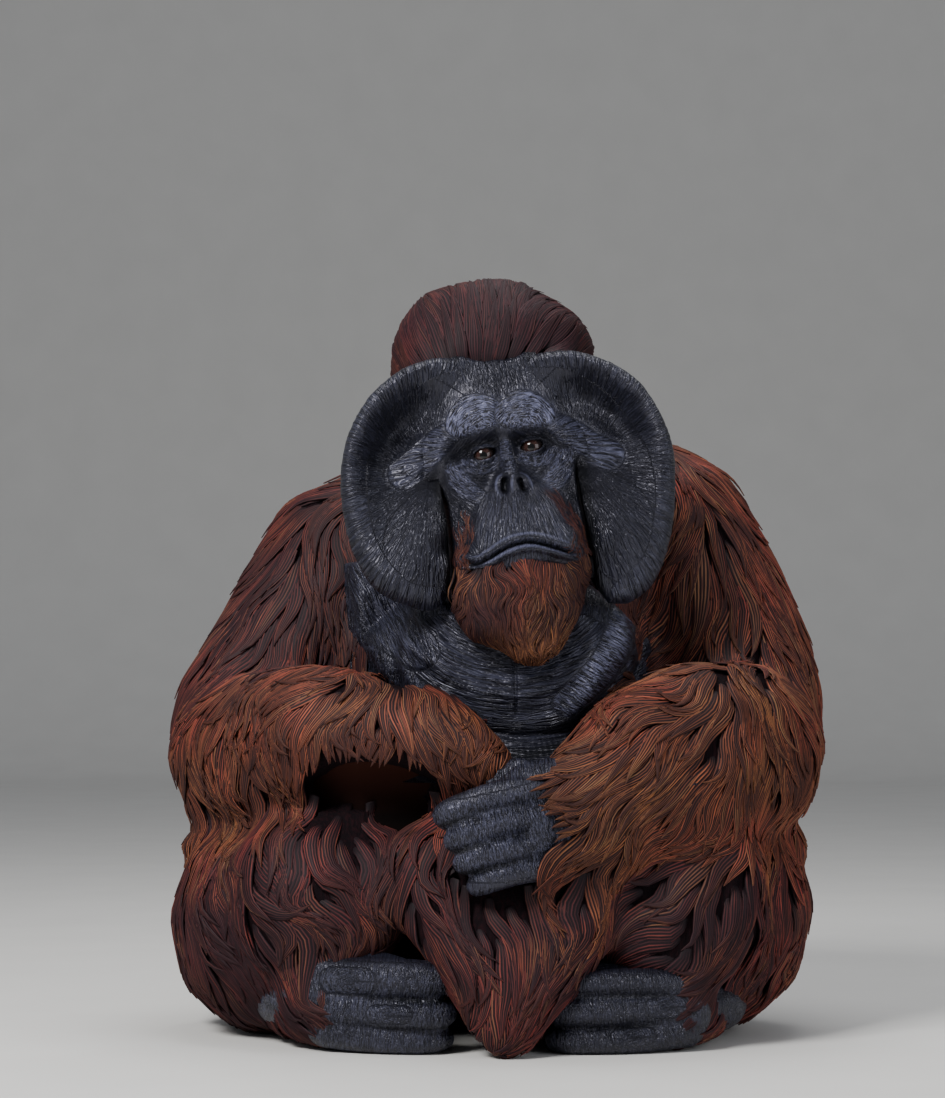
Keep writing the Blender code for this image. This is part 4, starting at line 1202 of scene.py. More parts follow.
def face_front(u, v):
    """Depth of the head's front: the smooth depths less the folds' heights, with the eyes' lids.

    The lids are balls round the eyes, blended in over LID_BLEND; inside an opening's ellipse the depth
    is cut back. Wrinkles and the gaps beside the muzzle are left out.
    """
    depth = depth_through(FACE_DEPTHS, FACE_SOFTNESS)(u, v)
    for rows in FACE_FOLDS:
        depth = depth - stroke(u, v, rows)
    for (eye_u, eye_v), (open_u, open_v, wide, high, tilt) in zip(EYE_PLACES, EYE_OPENINGS):
        off = (u - eye_u) ** 2 + (v - eye_v) ** 2
        shell = EYE_DEPTH - np.sqrt(np.maximum(LID_RADIUS ** 2 - off, 0)) + 0.6 * np.maximum(
            np.sqrt(off) - LID_RADIUS, 0)
        blend = np.clip(0.5 + (depth - shell) / LID_BLEND, 0, 1)
        depth = depth + (shell - depth) * blend - LID_BLEND / 4 * blend * (1 - blend)
        turn = radians(tilt)
        du, dv = u - open_u, v - open_v
        q = np.hypot((du * cos(turn) + dv * sin(turn)) / wide, (dv * cos(turn) - du * sin(turn)) / high)
        depth = (depth + LID_CUT * (1 - smoothstep(0.86, 1.0, q))
                 - LID_ROLL * np.exp(-((q - 1.12) / 0.12) ** 2))
    return depth


def displaced(points, amount):
    """Points of a grid moved along its normals by an amount in the points' own unit."""
    normal = unit(np.cross(np.gradient(points, axis=1), np.gradient(points, axis=0)))
    return points + normal * amount[..., None]


def mark_skin(mesh, relief, shade, brushed, grain, pale):
    """Attributes that the skin paint reads."""
    relief, shade, brushed, pale = (np.clip(np.ravel(item), 0, 1)
                                    for item in (relief, shade, brushed, pale))
    set_attribute(mesh, "tone", np.stack([relief, shade, brushed, np.ones_like(relief)], 1))
    set_attribute(mesh, "pale", pale)
    grain = grain.reshape(-1, 2)
    set_attribute(mesh, "grain", np.column_stack([grain, np.zeros(len(grain))]))


FACE_STEP = 1.25            # mm between the points of the face's grid
FACE_BOX = ((-116, 112), (-160, 124))     # its ranges of u and v
GAP_DEPTH, MASK_DROP, CHIN_DROP, HAIR_DROP = 66, 9, 16, 14    # mm that the face falls at its edges
FACE_PATTERNS = (FLANGE_GRAIN[-1][:2] + FLANGE_GRAIN[1][:2] + RIDGE_GRAIN[-1] + RIDGE_GRAIN[1]
                 + FACE_GRAIN)


def face_mesh():
    """Face from gap to gap: a grid over (u, v) at the depth of face_front, dropped at its edges.

    Beside the muzzle it falls into the gaps; over the brow its edge sinks just under the flanges.
    """
    u, v = np.meshgrid(*(np.arange(*ends, FACE_STEP) for ends in FACE_BOX))
    depth = face_front(u, v)
    height, relief, brushed, grain = grained(u, v, FACE_PATTERNS)
    gap = np.maximum(side_line(GAP_LINES[-1], v) - u, u - side_line(GAP_LINES[1], v))
    low = 1 - smoothstep(-52, -18, v)
    edge = np.maximum(side_line(MASK_EDGE[-1], v) - u, u - side_line(MASK_EDGE[1], v))
    chin = side_line(BEARD_LINE, u) - 4 - v
    hair = v - side_line(HAIR_LINE, u)
    depth = (depth + low * GAP_DEPTH * smoothstep(-6, 7, gap) ** 1.3 + MASK_DROP * smoothstep(-2, 14, edge)
             + CHIN_DROP * smoothstep(0, 16, chin) + HAIR_DROP * smoothstep(-2, 14, hair))
    # Painted shade: the hollows' strokes, the gaps beside the muzzle and the face's edge where it sinks
    # under the flanges
    shade = (sum(stroke(u, v, rows) for rows in FACE_SHADES) + 1.2 * low * smoothstep(-5, 3, gap)
             + 0.7 * smoothstep(-7, 5, edge))
    # Painted highlights of the lips, nostrils and lids
    pale = sum(stroke(u, v, rows) for rows in FACE_LIGHTS)
    points = displaced(np.stack([u, depth, v], -1), height * sizes().wrinkle_depth / MM)
    faces = grid_faces(*u.shape)
    faces = faces[((edge < 12) & (gap < 14) & (hair < 12)).ravel()[faces].all(1)]
    used, faces = np.unique(faces, return_inverse=True)
    mesh = new_mesh("face_skin", in_head(points).reshape(-1, 3)[used], faces)
    mark_skin(mesh, *(np.reshape(item, (u.size, -1))[used]
                      for item in (relief, shade, brushed, grain, pale)))
    return mesh


RIM_SIDES = 560             # points round a flange
RIM_BACK = 46.0             # depth of its back
RIM_TURNS = np.radians(np.linspace(0, 86, 18))
RIM_RINGS = 34              # rings inside the rolled rim
RIM_BACK_RINGS = 11         # rings on its back
HIDDEN_DROP = 5             # mm that it sinks where the face covers it
SPINE_U, SPINE_END = 122, 46    # the line down its middle, and how far it ends inside the outline


def flange_mesh(name, side):
    """Cheek flange as rings between its outline and the line down its middle.

    In front the rings follow the depth of face_front; within the rolled rim's radius r that depth
    grows by 1.1 (r - sqrt(r² - (r - d)²)), with d the distance from the outline. Behind, they
    turn in to a flat back.
    """
    outline = smooth_path(FLANGE_OUTLINES[side] + FLANGE_OUTLINES[side][:1], RIM_SIDES + 1)[:-1]
    low, high = outline[:, 1].min() + SPINE_END, outline[:, 1].max() - SPINE_END
    middle = np.stack([np.full(RIM_SIDES, side * SPINE_U), np.clip(outline[:, 1], low, high)], 1)
    inward = middle - outline[:, :2]
    span = np.linalg.norm(inward, axis=1)
    inward /= span[:, None]
    radius = np.minimum(outline[:, 2], span * 0.7)
    roll = radius[None] * (1 - np.cos(RIM_TURNS))[:, None]
    inner = radius[None] + (span - radius)[None] * np.linspace(0, 1, RIM_RINGS + 1)[1:, None]
    reach = np.concatenate([roll, inner])
    place = outline[None, :, :2] + inward[None] * reach[..., None]
    u, v = place[..., 0], place[..., 1]
    drop = 1.1 * (radius - np.sqrt(np.maximum(radius ** 2 - np.maximum(radius - reach, 0) ** 2, 0)))
    height, relief, brushed, grain = grained(u, v, FLANGE_GRAIN[side] + RIDGE_GRAIN[side])
    low_part = 1 - smoothstep(-34, -14, v)
    edge = (side_line(MASK_EDGE[side], v) - u) * side
    hidden = smoothstep(-3, 10, edge) * (1 - low_part)
    depth = face_front(u, v) + drop + HIDDEN_DROP * hidden
    back_share = np.linspace(0, 1, RIM_BACK_RINGS + 1)[1:, None]
    back_reach = radius * 0.9 * (1 - np.cos(back_share * pi / 2)) + (span - radius * 0.9) * back_share ** 5
    back_place = outline[None, :, :2] + inward[None] * back_reach[..., None]
    back_depth = depth[0] + np.maximum(RIM_BACK - depth[0], 4) * np.sin(back_share * pi / 2)

    def extend(values, fade=1.0):
        """Values of the front with those of the outline before them for the back, rising from fade."""
        share = np.linspace(fade, 1, RIM_BACK_RINGS).reshape(-1, *(1,) * (values.ndim - 1))
        return np.concatenate([values[:1] * share, values])

    def closed(values):
        """Values with the last two columns before the first and the first two after the last."""
        return np.concatenate([values[:, -2:], values, values[:, :2]], 1)

    front = np.stack([u, depth, v], -1)
    back = np.stack([back_place[..., 0], back_depth, back_place[..., 1]], -1)
    points = displaced(closed(np.concatenate([back[::-1], front])),
                       closed(extend(height, 0.0)) * sizes().wrinkle_depth / MM)[:, 2:-2]
    mesh = new_mesh(name, in_head(points).reshape(-1, 3), grid_faces(*points.shape[:2], wrap=True))
    # Painted shade in the gap beside the muzzle
    shade = 1.2 * low_part * smoothstep(-12, 0, -np.abs(u - side_line(GAP_LINES[side], v)) + 4)
    mark_skin(mesh, extend(relief), extend(shade), extend(brushed), extend(grain), 0 * extend(shade))
    return mesh


class STATUE_OT_head(bpy.types.Operator):
    """Skins of the face and of each cheek flange, which stand for the ears too."""
    bl_idname = "statue.head"
    bl_label = "Head skin"

    def execute(self, context):
        paint = skin_material()
        add_piece("face_skin", face_mesh(), paint, replaces=("head", "brow", "muzzle"))
        for name, side, nodes in (("flange_skin_right", -1, ("flange_right", "ear_right")),
                                  ("flange_skin_left", 1, ("flange_left", "ear_left"))):
            add_piece(name, flange_mesh(name, side), paint, replaces=nodes)
        return {"FINISHED"}


# Edges of pupil and iris, in radians from the line of sight, and the paints beside the iris
PUPIL_EDGE, IRIS_EDGE = (0.30, 0.35), (0.66, 0.76)
PUPIL_PAINT, WHITE_PAINT = (0.001, 0.001, 0.001), (0.010, 0.006, 0.005)


def eye_material():
    """Glossy eye: black pupil, reddish-brown iris with spokes and a near-black white."""
    paint = Paint("eye_paint")
    turn = paint.attribute("turn", out="Fac")
    spokes = paint.noise(paint.attribute("spoke", out="Vector"), 9.0, 2.0)
    iris = paint.mix(paint.fit(spokes, 0.4, 0.65), paint_of("iris", 0.45), paint_of("iris"))
    colour = paint.mix(paint.fit(turn, *PUPIL_EDGE), PUPIL_PAINT, iris)
    colour = paint.mix(paint.fit(turn, *IRIS_EDGE), colour, WHITE_PAINT)
    return paint.finish(colour, 0.16, None, Coat_Weight=0.6, Coat_Roughness=0.02, Specular_IOR_Level=0.2)


EYE_GAZE = ((-0.02, -1.0, -0.04), (-0.06, -1.0, -0.04))     # where the right and left eye look


class STATUE_OT_eyes(bpy.types.Operator):
    """Two eyeballs, with rings about the line of sight."""
    bl_idname = "statue.eyes"
    bl_label = "Eyes"

    def execute(self, context):
        paint = eye_material()
        turn, round_about = np.meshgrid(np.linspace(0.02, pi - 0.02, EYE_RINGS),
                                        np.arange(EYE_SIDES) * 2 * pi / EYE_SIDES, indexing="ij")
        ball = np.stack([np.sin(turn) * np.cos(round_about), np.sin(turn) * np.sin(round_about),
                         np.cos(turn)], -1) * EYE_RADIUS * MM
        for name, (u, v), gaze in zip(("eye_right", "eye_left"), EYE_PLACES, EYE_GAZE):
            look = np.array(Vector(gaze).to_track_quat("Z", "Y").to_matrix())
            points = ball.reshape(-1, 3) @ look.T + in_head([(u, EYE_DEPTH, v)])
            mesh = new_mesh(name, points, grid_faces(EYE_RINGS, EYE_SIDES, wrap=True))
            set_attribute(mesh, "turn", turn.ravel())
            set_attribute(mesh, "spoke", np.stack([np.cos(round_about), np.sin(round_about), turn * 0.15],
                                                  -1).reshape(-1, 3))
            add_piece(name + "_ball", mesh, paint, replaces=(name,))
        return {"FINISHED"}


# Throat sac and chest, drawn in the world's x and z in millimetres
TORSO_BOX = ((-205, 222), (300, 640))       # ranges of x and z
TORSO_STEP = 1.8            # mm between its points
TORSO_ROUNDS = 4            # rounds of smoothing of the sheet
TORSO_SKIN = 2              # mm that its skin lies behind the smoothed sheet
TORSO_FAR, TORSO_MISSED = -600.0, 20.0      # y that the sheet is laid on from, and where it meets nothing
SHOULDER_X, SHOULDER_Z = -165, 560          # beyond and above them the sheet is cut off
TORSO_BACK = (-120, -40)    # the sheet goes no further back, beside the right arm and behind it
TORSO_BACK_X = (-208, -158) # x between which that changes
# Skin of the chest that is seen between the throat sac and the forearms, (x, z, y)
TORSO_LAP = [(-130, 330, -200), (-60, 336, -244), (0, 326, -268), (40, 322, -276),
             (80, 330, -272), (120, 352, -250), (160, 384, -212), (205, 420, -160),
             (-60, 372, -196), (0, 372, -200), (60, 368, -204), (110, 392, -184),
             (150, 420, -158), (0, 300, -292), (60, 300, -298)]
TORSO_LAP_TOP = (392, 432)  # heights over which it ends
TORSO_LAP_SOFTNESS, TORSO_LAP_END = 30, 400     # mm, the latter back from its place
TORSO_NODES = ("throat_sac", "chest", "neck", "belly")
TORSO_FOLDS = [
    # rim of the sac, the dark trough round it and the dip in its middle
    [(-160, 515, 18, 5), (-150, 468, 20, 9), (-118, 420, 24, 11), (-66, 384, 26, 10),
     (-14, 362, 26, 9), (34, 356, 26, 9), (84, 373, 27, 13), (118, 416, 27, 16), (146, 466, 25, 16),
     (160, 520, 20, 10)],
    [(-174, 470, 9, -6), (-140, 418, 11, -10), (-94, 372, 12, -14), (-40, 346, 14, -9),
     (20, 336, 16, -7), (84, 350, 14, -9), (128, 386, 12, -14), (160, 432, 12, -12), (184, 500, 12, -8)],
    [(-50, 462, 30, -9), (18, 430, 34, -12), (84, 456, 30, -10)],
    # crumpled folds on the right side, arcs and the seam in the middle
    [(-146, 520, 9, 5), (-128, 486, 10, 8), (-96, 452, 10, 7), (-58, 424, 10, 4)],
    [(-104, 520, 9, 5), (-88, 486, 10, 7), (-66, 456, 10, 6), (-36, 432, 9, 3)],
    [(-70, 520, 8, 3), (-56, 492, 9, 5), (-38, 464, 9, 4), (-10, 446, 8, 2)],
    [(-120, 536, 8, 4), (-90, 528, 8, 5), (-60, 534, 8, 3)],
    [(-60, 418, 5, 2), (-10, 402, 5, 3), (40, 400, 5, 3), (84, 418, 5, 3), (112, 452, 5, 2)],
    [(-30, 424, 5, 2), (16, 416, 5, 3), (60, 426, 5, 3), (90, 452, 5, 2)],
    [(20, 440, 3, -3), (20.5, 408, 3, -5), (21, 376, 3, -3)],
    # chest beside the sac
    [(112, 356, 22, 9), (136, 388, 24, 13), (168, 426, 20, 9)],
    [(150, 420, 12, 4), (176, 460, 14, 6), (192, 500, 12, 3)],
]
# Painted shade: the crescent under the throat sac's rim and the dip in its middle
TORSO_SHADES = [
    [(-172, 462, 9, 0.5), (-138, 414, 10, 0.6), (-92, 370, 11, 0.9), (-38, 342, 12, 1.1),
     (20, 331, 13, 1.1), (84, 345, 12, 1.1), (128, 383, 11, 0.9), (160, 430, 10, 0.6), (184, 500, 10, 0.4)],
    [(-40, 474, 30, 0.5), (14, 446, 34, 0.6), (70, 474, 30, 0.5)],
]
TORSO_GRAIN = [
    Grain("ring", (20, 580, 160), 5.0, 60, 0.7, 0.08, [(-190, 380, 60), (20, 330, 60), (200, 420, 60)]),
    Grain("ring", (20, 580, 160), 5.0, 60, 1.0, 0.18, [(-60, 450, 60), (20, 410, 60), (90, 450, 60)]),
    Grain("line", (0, 500, 118), 5.0, 40, 1.2, 0.2, [(-150, 540, 40), (-130, 490, 44), (-90, 450, 34)]),
    Grain("line", (140, 390, 40), 4.6, 24, 0.7, 0.25, [(104, 356, 26), (136, 388, 28), (172, 440, 26)]),
    Grain("line", (130, 450, -30), 4.6, 30, 0.7, 0.5, [(80, 390, 24), (124, 436, 26), (152, 500, 24)]),
]


def torso_mesh():
    """Front of the chest and throat sac: a grid over (x, z) laid on the solids and folded."""
    x, z = np.meshgrid(*(np.arange(*ends, TORSO_STEP) for ends in TORSO_BOX))
    target = new_object("torso_shape", remeshed("torso_shape", node_arrays(TORSO_NODES), TORSO_FINENESS))
    flat = np.stack([x, np.full_like(x, TORSO_FAR), z], -1).reshape(-1, 3) * MM
    holder = new_object("torso_grid", new_mesh("torso_grid", flat, grid_faces(*x.shape)))
    wrap = holder.modifiers.new("wrap", "SHRINKWRAP")
    wrap.target, wrap.wrap_method = target, "PROJECT"
    wrap.use_project_x, wrap.use_project_y, wrap.use_project_z = False, True, False
    wrap.use_positive_direction, wrap.use_negative_direction = True, False
    depth = mesh_points(evaluated(holder).data)[:, 1].reshape(x.shape) / MM
    bpy.data.objects.remove(holder)
    bpy.data.objects.remove(target)
    depth = np.where(depth < TORSO_FAR + 1, TORSO_MISSED, depth)
    back = TORSO_BACK[1] + (TORSO_BACK[0] - TORSO_BACK[1]) * smoothstep(*TORSO_BACK_X, x)
    depth = np.where((x < 0) & (z < SHOULDER_Z), np.minimum(depth, back), depth)
    for _ in range(TORSO_ROUNDS):
        depth[1:-1, 1:-1] = (depth[1:-1, 1:-1] + depth[:-2, 1:-1] + depth[2:, 1:-1] + depth[1:-1, :-2]
                             + depth[1:-1, 2:]) / 5
    lap = depth_through(TORSO_LAP, TORSO_LAP_SOFTNESS)(x, z)
    lap = lap + TORSO_LAP_END * smoothstep(*TORSO_LAP_TOP, z)
    depth = np.minimum(depth, lap)
    for rows in TORSO_FOLDS:
        depth = depth - stroke(x, z, rows)
    height, relief, brushed, grain = grained(x, z, TORSO_GRAIN)
    shade = sum(stroke(x, z, rows) for rows in TORSO_SHADES)
    points = displaced(np.stack([x, depth + TORSO_SKIN, z], -1), height * sizes().wrinkle_depth / MM)
    faces = grid_faces(*x.shape)
    faces = faces[((x > SHOULDER_X) | (z < SHOULDER_Z)).ravel()[faces].all(1)]
    mesh = new_mesh("torso_skin", points.reshape(-1, 3) * MM, faces)
    mark_skin(mesh, relief, shade, brushed, grain, 0 * shade)
    return mesh


# Fingers, hand, toes and foot as tubes through (x, y, z, radius) in mm
HAND_TUBES = [
    [(60, -350, 292, 15), (28, -364, 294, 16), (0, -373, 291, 16), (-28, -374, 282, 16),
     (-56, -368, 270.5, 15), (-58, -350, 264, 13)],
    [(62, -348, 262, 15), (30, -364, 264, 15), (6, -374, 262, 15), (-22, -376, 253, 15),
     (-45, -370, 243, 14), (-48, -350, 238, 12)],
    [(62, -346, 236, 14), (34, -362, 234, 14), (11, -372, 230.5, 14), (-13, -374, 226, 14),
     (-36, -366, 217, 13), (-38, -348, 213, 11)],
    [(62, -343, 214, 13), (42, -357, 208, 13.5), (21, -366, 205, 13.5), (-1, -368, 199, 13.5),
     (-21, -360, 192, 13), (-24, -344, 189, 11)],
    [(36, -350, 284, 20), (44, -350, 252, 26), (40, -348, 222, 20)],
    [(64, -338, 282, 24), (74, -336, 250, 28), (66, -338, 222, 22)],
    [(8, -348, 290, 19), (34, -342, 302, 24), (62, -330, 304, 27)],
]
# Painted shade in the grooves between the fingers
HAND_SHADES = [
    [(-70, 255, 5, 1.0), (-44, 264, 5, 0.9), (-14, 275, 4, 0.2)],
    [(-56, 226, 5, 1.0), (-32, 232, 5, 0.9), (-6, 241, 4, 0.2)],
    [(-44, 203, 5, 1.0), (-18, 209, 5, 0.9), (8, 216, 4, 0.2)],
]
HAND_GRAIN = [
    Grain("line", (0, 250, 102), 3.6, 16, 0.3, 0.34, [(-66, 240, 60), (0, 245, 70), (70, 262, 70)]),
]
FOOT_TUBES_RIGHT = [
    [(-186, -290, 84, 25), (-160, -302, 84, 23), (-120, -316, 85, 22.5), (-85, -320, 84, 22),
     (-66, -312, 82, 19)],
    [(-186, -290, 48, 26), (-150, -304, 46, 20), (-110, -318, 45, 18.5), (-75, -322, 45, 18),
     (-60, -308, 45, 15)],
    [(-186, -286, 26, 24), (-150, -302, 18, 17.5), (-110, -312, 16.5, 16.5), (-75, -312, 16.5, 16),
     (-62, -300, 16, 14)],
    [(-190, -284, 88, 27), (-194, -282, 60, 31), (-190, -280, 30, 28)],
    [(-186, -270, 99, 24), (-150, -280, 92, 24), (-110, -292, 84, 22)],
    [(-192, -276, 60, 34), (-236, -230, 55, 34), (-250, -190, 50, 34)],
]
FOOT_TUBES_LEFT = [
    [(200, -290, 74, 19), (170, -304, 79, 16), (130, -316, 80, 15.5), (95, -320, 79, 15),
     (84, -306, 78, 13)],
    [(200, -290, 50, 22), (165, -304, 49, 18), (125, -318, 48.5, 17), (85, -322, 48, 16.5),
     (62, -308, 46, 14)],
    [(200, -286, 25, 23), (165, -302, 17.5, 17), (125, -312, 16, 16), (85, -314, 16, 15.5),
     (66, -302, 15, 14)],
    [(208, -282, 70, 20), (214, -280, 46, 27), (210, -278, 27, 25)],
    [(196, -266, 78, 20), (150, -276, 82, 19), (108, -288, 82, 17)],
    [(205, -270, 46, 30), (245, -225, 45, 32), (258, -190, 44, 32)],
]
# Painted shade in the grooves between the toes
FOOT_SHADES = [
    [(-150, 64, 5, 0.2), (-110, 62, 5, 0.9), (-50, 60, 5, 1.0)],
    [(-150, 32, 4, 0.2), (-110, 31, 4, 0.9), (-50, 31, 4, 1.0)],
    [(185, 65, 4, 0.2), (150, 65, 4, 0.9), (60, 64, 4, 1.0)],
    [(185, 32, 4, 0.2), (150, 32, 4, 0.9), (60, 31, 4, 1.0)],
]
FOOT_GRAIN = [
    Grain("line", (0, 0, 84), 4.0, 18, 0.6, 0.2, [(-280, 40, 90), (0, 40, 90)]),
    Grain("line", (0, 0, 92), 4.0, 18, 0.6, 0.1, [(100, 40, 80), (280, 40, 90)]),
    Grain("ring", (-166, 82, 30), 4.0, 24, 0.6, 0.22, [(-184, 82, 22), (-150, 82, 22)]),
    Grain("ring", (-122, 46, 24), 4.0, 24, 0.6, 0.22, [(-136, 46, 15), (-106, 46, 15)]),
    Grain("ring", (150, 20, 24), 4.0, 24, 0.6, 0.14, [(136, 20, 15), (166, 20, 15)]),
    Grain("ring", (188, 52, 24), 4.0, 24, 0.6, 0.14, [(176, 52, 17), (202, 52, 17)]),
]


TUBE_SIDES, TUBE_RINGS = 18, 6      # points round a tube, and rings for each of its rows


def tube_arrays(rows):
    """Closed tube of circles on a smooth path, with rounded ends, as points and triangles."""
    sides = TUBE_SIDES
    path = smooth_path(rows, TUBE_RINGS * len(rows))
    along = unit(np.gradient(path[:, :3], axis=0))
    first = unit(np.cross(along, np.array([0.13, 0.21, 1.0])))
    second = np.cross(along, first)
    cap = np.cos(np.linspace(0, pi / 2, 5))[:4]
    reach, size = np.sqrt(1 - cap[::-1] ** 2)[:, None], cap[::-1][:, None]
    ends = []
    for here, way in ((0, -1), (-1, 1)):
        radius = path[here, 3]
        ends.append((path[here, :3] + way * along[here] * reach * radius, size * radius))
    centres = np.concatenate([ends[0][0], path[:, :3], ends[1][0][::-1]])
    radii = np.concatenate([ends[0][1], path[:, 3:], ends[1][1][::-1]])
    frame_of = np.concatenate([np.zeros(4, int), np.arange(len(path)), np.full(4, len(path) - 1)])
    turn = np.arange(sides) * 2 * pi / sides
    ring = (first[frame_of][:, None] * np.cos(turn)[None, :, None]
            + second[frame_of][:, None] * np.sin(turn)[None, :, None])
    points = centres[:, None] + ring * radii[:, None]
    last = len(centres) - 1
    poles = np.stack([path[0, :3] - along[0] * path[0, 3], path[-1, :3] + along[-1] * path[-1, 3]])
    j = np.arange(sides)
    k = (j + 1) % sides
    count = points.shape[0] * sides
    fans = np.concatenate([np.stack([k, j, np.full(sides, count)], 1),
                           np.stack([last * sides + j, last * sides + k, np.full(sides, count + 1)], 1)])
    quads = grid_faces(len(centres), sides, wrap=True)
    cut = np.concatenate([quads[:, [0, 1, 2]], quads[:, [0, 2, 3]], fans])
    return np.concatenate([points.reshape(-1, 3), poles]) * MM, cut


def limb_mesh(name, arrays, fineness, patterns, shades):
    """Rounded skin round a hand or a foot, with wrinkles and painted shade in its grooves, by its x and z.
    """
    mesh = remeshed(name, arrays, fineness)
    mesh.materials.clear()
    at = mesh_points(mesh)
    x, z = at[:, 0] / MM, at[:, 2] / MM
    height, relief, brushed, grain = grained(x, z, patterns)
    normals = vectors_of(mesh.vertex_normals, "vector")
    moved = at + normals * (height * sizes().wrinkle_depth)[:, None]
    moved[:, 2] = np.maximum(moved[:, 2], 0)
    move_points(mesh, moved)
    mark_skin(mesh, relief, sum(stroke(x, z, rows) for rows in shades), brushed, grain, np.zeros(len(at)))
    return mesh


# Sheet of painted shadow in the hollow between the right forearm and the thigh: (y, z) from the arm down to
# the thigh
CAVITY_PROFILE = [(-306, 344), (-282, 330), (-258, 314), (-246, 294), (-246, 274), (-254, 256),
                  (-264, 240), (-268, 222)]
CAVITY_ENDS = (-40, -262)   # x of its ends
CAVITY_TURN = (-150, 60)    # x beyond which it turns back, and how far
CAVITY_GRID = (28, 60)      # points down and across
CAVITY_SHADOW_FADE = (0.262, 0.318)        # heights in metres between which it gets lighter
# Colours of the painted shadow at the hollow's foot and top
CAVITY_SHADOW_FOOT, CAVITY_SHADOW_TOP = (0.003, 0.0016, 0.0016), (0.030, 0.010, 0.007)


def cavity_shadow_mesh():
    """Profile carried along x, moved back by 60 smoothstep towards the animal's right side."""
    path = smooth_path(CAVITY_PROFILE, CAVITY_GRID[0])
    x = np.linspace(*CAVITY_ENDS, CAVITY_GRID[1])[:, None]
    back = CAVITY_TURN[1] * smoothstep(CAVITY_TURN[0], CAVITY_ENDS[1], x)
    points = np.stack(np.broadcast_arrays(x, path[:, 0] + back, path[:, 1]), -1)
    return new_mesh("cavity_skin", points.reshape(-1, 3) * MM, grid_faces(*points.shape[:2]))


def cavity_shadow_material():
    """Painted shadow: brown at the top of the hollow and nearly black at its foot."""
    paint = Paint("cavity_paint")
    height = paint.parts(paint.place())[2]
    colour = paint.mix(paint.fit(height, *CAVITY_SHADOW_FADE), CAVITY_SHADOW_FOOT, CAVITY_SHADOW_TOP)
    return paint.finish(colour, 0.9, None, Specular_IOR_Level=0.05)


class STATUE_OT_torso(bpy.types.Operator):
    """Bare throat sac and chest, and a sheet of painted shadow in the hollow under the right arm."""
    bl_idname = "statue.torso"
    bl_label = "Throat and chest skin"

    def execute(self, context):
        add_piece("cavity_skin", cavity_shadow_mesh(), cavity_shadow_material())
        add_piece("torso_skin", torso_mesh(), skin_material(),
                  replaces=("throat_sac", "chest"))
        return {"FINISHED"}


class STATUE_OT_limbs(bpy.types.Operator):
    """Hands and feet."""
    bl_idname = "statue.limbs"
    bl_label = "Hands and feet"

    def execute(self, context):
        hand, foot = (HAND_GRAIN, HAND_SHADES), (FOOT_GRAIN, FOOT_SHADES)
        for name, nodes, tubes, looks in (("hand_skin_left", HAND_NODES_LEFT, HAND_TUBES, hand),
                                          ("hand_skin_right", HAND_NODES_RIGHT, (), hand),
                                          ("foot_skin_left", FOOT_NODES_LEFT, FOOT_TUBES_LEFT, foot),
                                          ("foot_skin_right", FOOT_NODES_RIGHT, FOOT_TUBES_RIGHT, foot)):
            arrays = joined([tube_arrays(rows) for rows in tubes]) if tubes else node_arrays(nodes)
            mesh = limb_mesh(name, arrays, LIMB_FINENESS if tubes else PLAIN_HAND_FINENESS, *looks)
            add_piece(name, mesh, skin_material(), replaces=nodes)
        return {"FINISHED"}


class STATUE_OT_skin(bpy.types.Operator):
    """Skin of the body, which lies inside the solids by the coat's depth."""
    bl_idname = "statue.skin"
    bl_label = "Body skin"

    def execute(self, context):
        body = tuple(node for node in BODY_NODES if node not in BARE_NODES)
        for name, nodes, more in (("body_skin", body, TOP_OF_FEET), ("beard_skin", ("beard",), ())):
            mesh = remeshed(name, node_arrays(nodes + more), BODY_FINENESS, sizes().coat_depth)
            move_points(mesh, shaped(mesh_points(mesh), HULL_SHAPES))
            mesh.materials.clear()
            add_piece(name, mesh, undercoat_shade_material(), replaces=nodes)
        return {"FINISHED"}


class STATUE_OT_coat(bpy.types.Operator):
    """Sculpted locks of the body, one piece for each region."""
    bl_idname = "statue.coat"
    bl_label = "Coat"

    def execute(self, context):
        for name in COATS:
            make_coat(name)
        return {"FINISHED"}


CAMERA_PLACE = (-0.0283, -3.5632, 0.4276)
CAMERA_PITCH = radians(2.4)
CAMERA_LENS, CAMERA_SENSOR = 95.0, 36.0
LIGHTS_AIM = (0, 0, 0.45)
# Lights: name, place, size, power and colour
LIGHTS = (("key", (-1.6, -2.5, 2.7), 1.1, 165, (1.0, 0.99, 0.97)),
          ("fill", (2.6, -2.2, 1.3), 2.0, 32, (0.93, 0.96, 1.0)),
          ("top", (0.2, 0.3, 3.0), 1.6, 40, (1.0, 1.0, 1.0)))
WORLD_COLOUR, WORLD_STRENGTH = (0.82, 0.85, 0.9, 1), 0.30
# Floor: half width and nearest y, then how far it runs back, how high it rises and the bend's radius
FLOOR_HALF, FLOOR_FRONT = 9.0, -5.0
FLOOR_RUN, FLOOR_RISE, FLOOR_BEND = 9.0, 5.0, 1.6


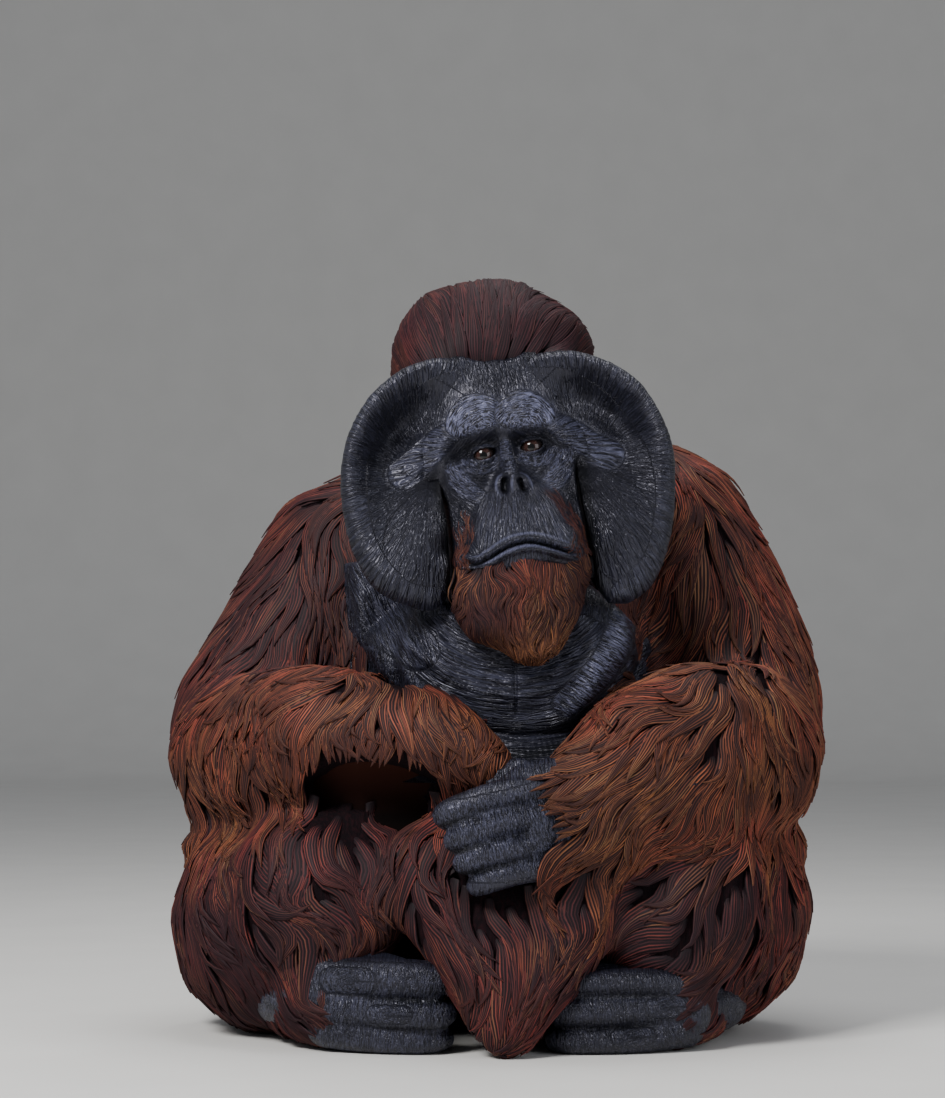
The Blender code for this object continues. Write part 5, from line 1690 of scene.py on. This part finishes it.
class STATUE_OT_stage(bpy.types.Operator):
    """Pale floor and backdrop, soft lights and the camera."""
    bl_idname = "statue.stage"
    bl_label = "Stage"

    def execute(self, context):
        scene = context.scene
        turn = np.linspace(0, pi / 2, 16)
        arc = np.stack([FLOOR_RUN - FLOOR_BEND + FLOOR_BEND * np.sin(turn),
                        FLOOR_BEND - FLOOR_BEND * np.cos(turn)], 1)
        outline = np.concatenate([[(FLOOR_FRONT, 0.0)], arc, [(FLOOR_RUN, FLOOR_RISE)]])
        sides = np.linspace(-FLOOR_HALF, FLOOR_HALF, 2)[None]
        points = np.stack(np.broadcast_arrays(sides, outline[:, :1], outline[:, 1:]), -1)
        mesh = new_mesh("floor", points.reshape(-1, 3), grid_faces(len(outline), 2))
        paint = Paint("floor_paint")
        speck = paint.noise(paint.place(), 6.0, 3.0)
        colour = paint.mix(paint.fit(speck, 0.3, 0.7), paint_of("floor"), paint_of("floor", 0.96))
        mesh.materials.append(paint.finish(colour, 0.7))
        new_object("floor", mesh)
        for name, place, size, power, tint in LIGHTS:
            data = bpy.data.lights.new(name, "AREA")
            data.size, data.energy, data.color = size, power, tint
            light = new_object(name, data)
            light.location = place
            light.rotation_euler = (Vector(LIGHTS_AIM) - Vector(place)).to_track_quat("-Z", "Y").to_euler()
        world = bpy.data.worlds.new("studio")
        world.use_nodes = True
        backdrop = world.node_tree.nodes["Background"]
        backdrop.inputs["Color"].default_value = WORLD_COLOUR
        backdrop.inputs["Strength"].default_value = WORLD_STRENGTH
        scene.world = world
        data = bpy.data.cameras.new("camera")
        data.lens, data.sensor_width, data.sensor_fit = CAMERA_LENS, CAMERA_SENSOR, "AUTO"
        scene.camera = new_object("camera", data)
        scene.camera.location = CAMERA_PLACE
        scene.camera.rotation_euler = (radians(90) + CAMERA_PITCH, 0, 0)
        return {"FINISHED"}


OPERATORS = (STATUE_OT_stage, STATUE_OT_skin, STATUE_OT_head, STATUE_OT_eyes, STATUE_OT_torso,
             STATUE_OT_limbs, STATUE_OT_coat)


class STATUE_PT_panel(bpy.types.Panel):
    """Sidebar panel with the sizes, the paints and a button for each step."""
    bl_idname = "STATUE_PT_panel"
    bl_label = "Orangutan statue"
    bl_space_type = "VIEW_3D"
    bl_region_type = "UI"
    bl_category = "Orangutan"

    def draw(self, context):
        for group in (context.scene.statue_sizes, context.scene.statue_colours):
            for name in group.bl_rna.properties.keys()[2:]:
                self.layout.prop(group, name)
        for operator in OPERATORS:
            self.layout.operator(operator.bl_idname)


CLASSES = (StatueSizes, StatueColours, *OPERATORS, STATUE_PT_panel)


def register():
    """Add the classes and the scene's two groups of values."""
    for item in CLASSES:
        bpy.utils.register_class(item)
    bpy.types.Scene.statue_sizes = PointerProperty(type=StatueSizes)
    bpy.types.Scene.statue_colours = PointerProperty(type=StatueColours)


def unregister():
    """Take out what register added."""
    del bpy.types.Scene.statue_sizes
    del bpy.types.Scene.statue_colours
    for item in reversed(CLASSES):
        bpy.utils.unregister_class(item)


def main():
    """Build everything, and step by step."""
    register()
    bpy.ops.statue.stage()
    bpy.ops.statue.skin()
    bpy.ops.statue.head()
    bpy.ops.statue.eyes()
    bpy.ops.statue.torso()
    bpy.ops.statue.limbs()
    bpy.ops.statue.coat()
    for name in ("hull", "beard_hull"):
        bpy.data.objects.remove(bpy.data.objects[name])


if __name__ == "__main__":
    main()
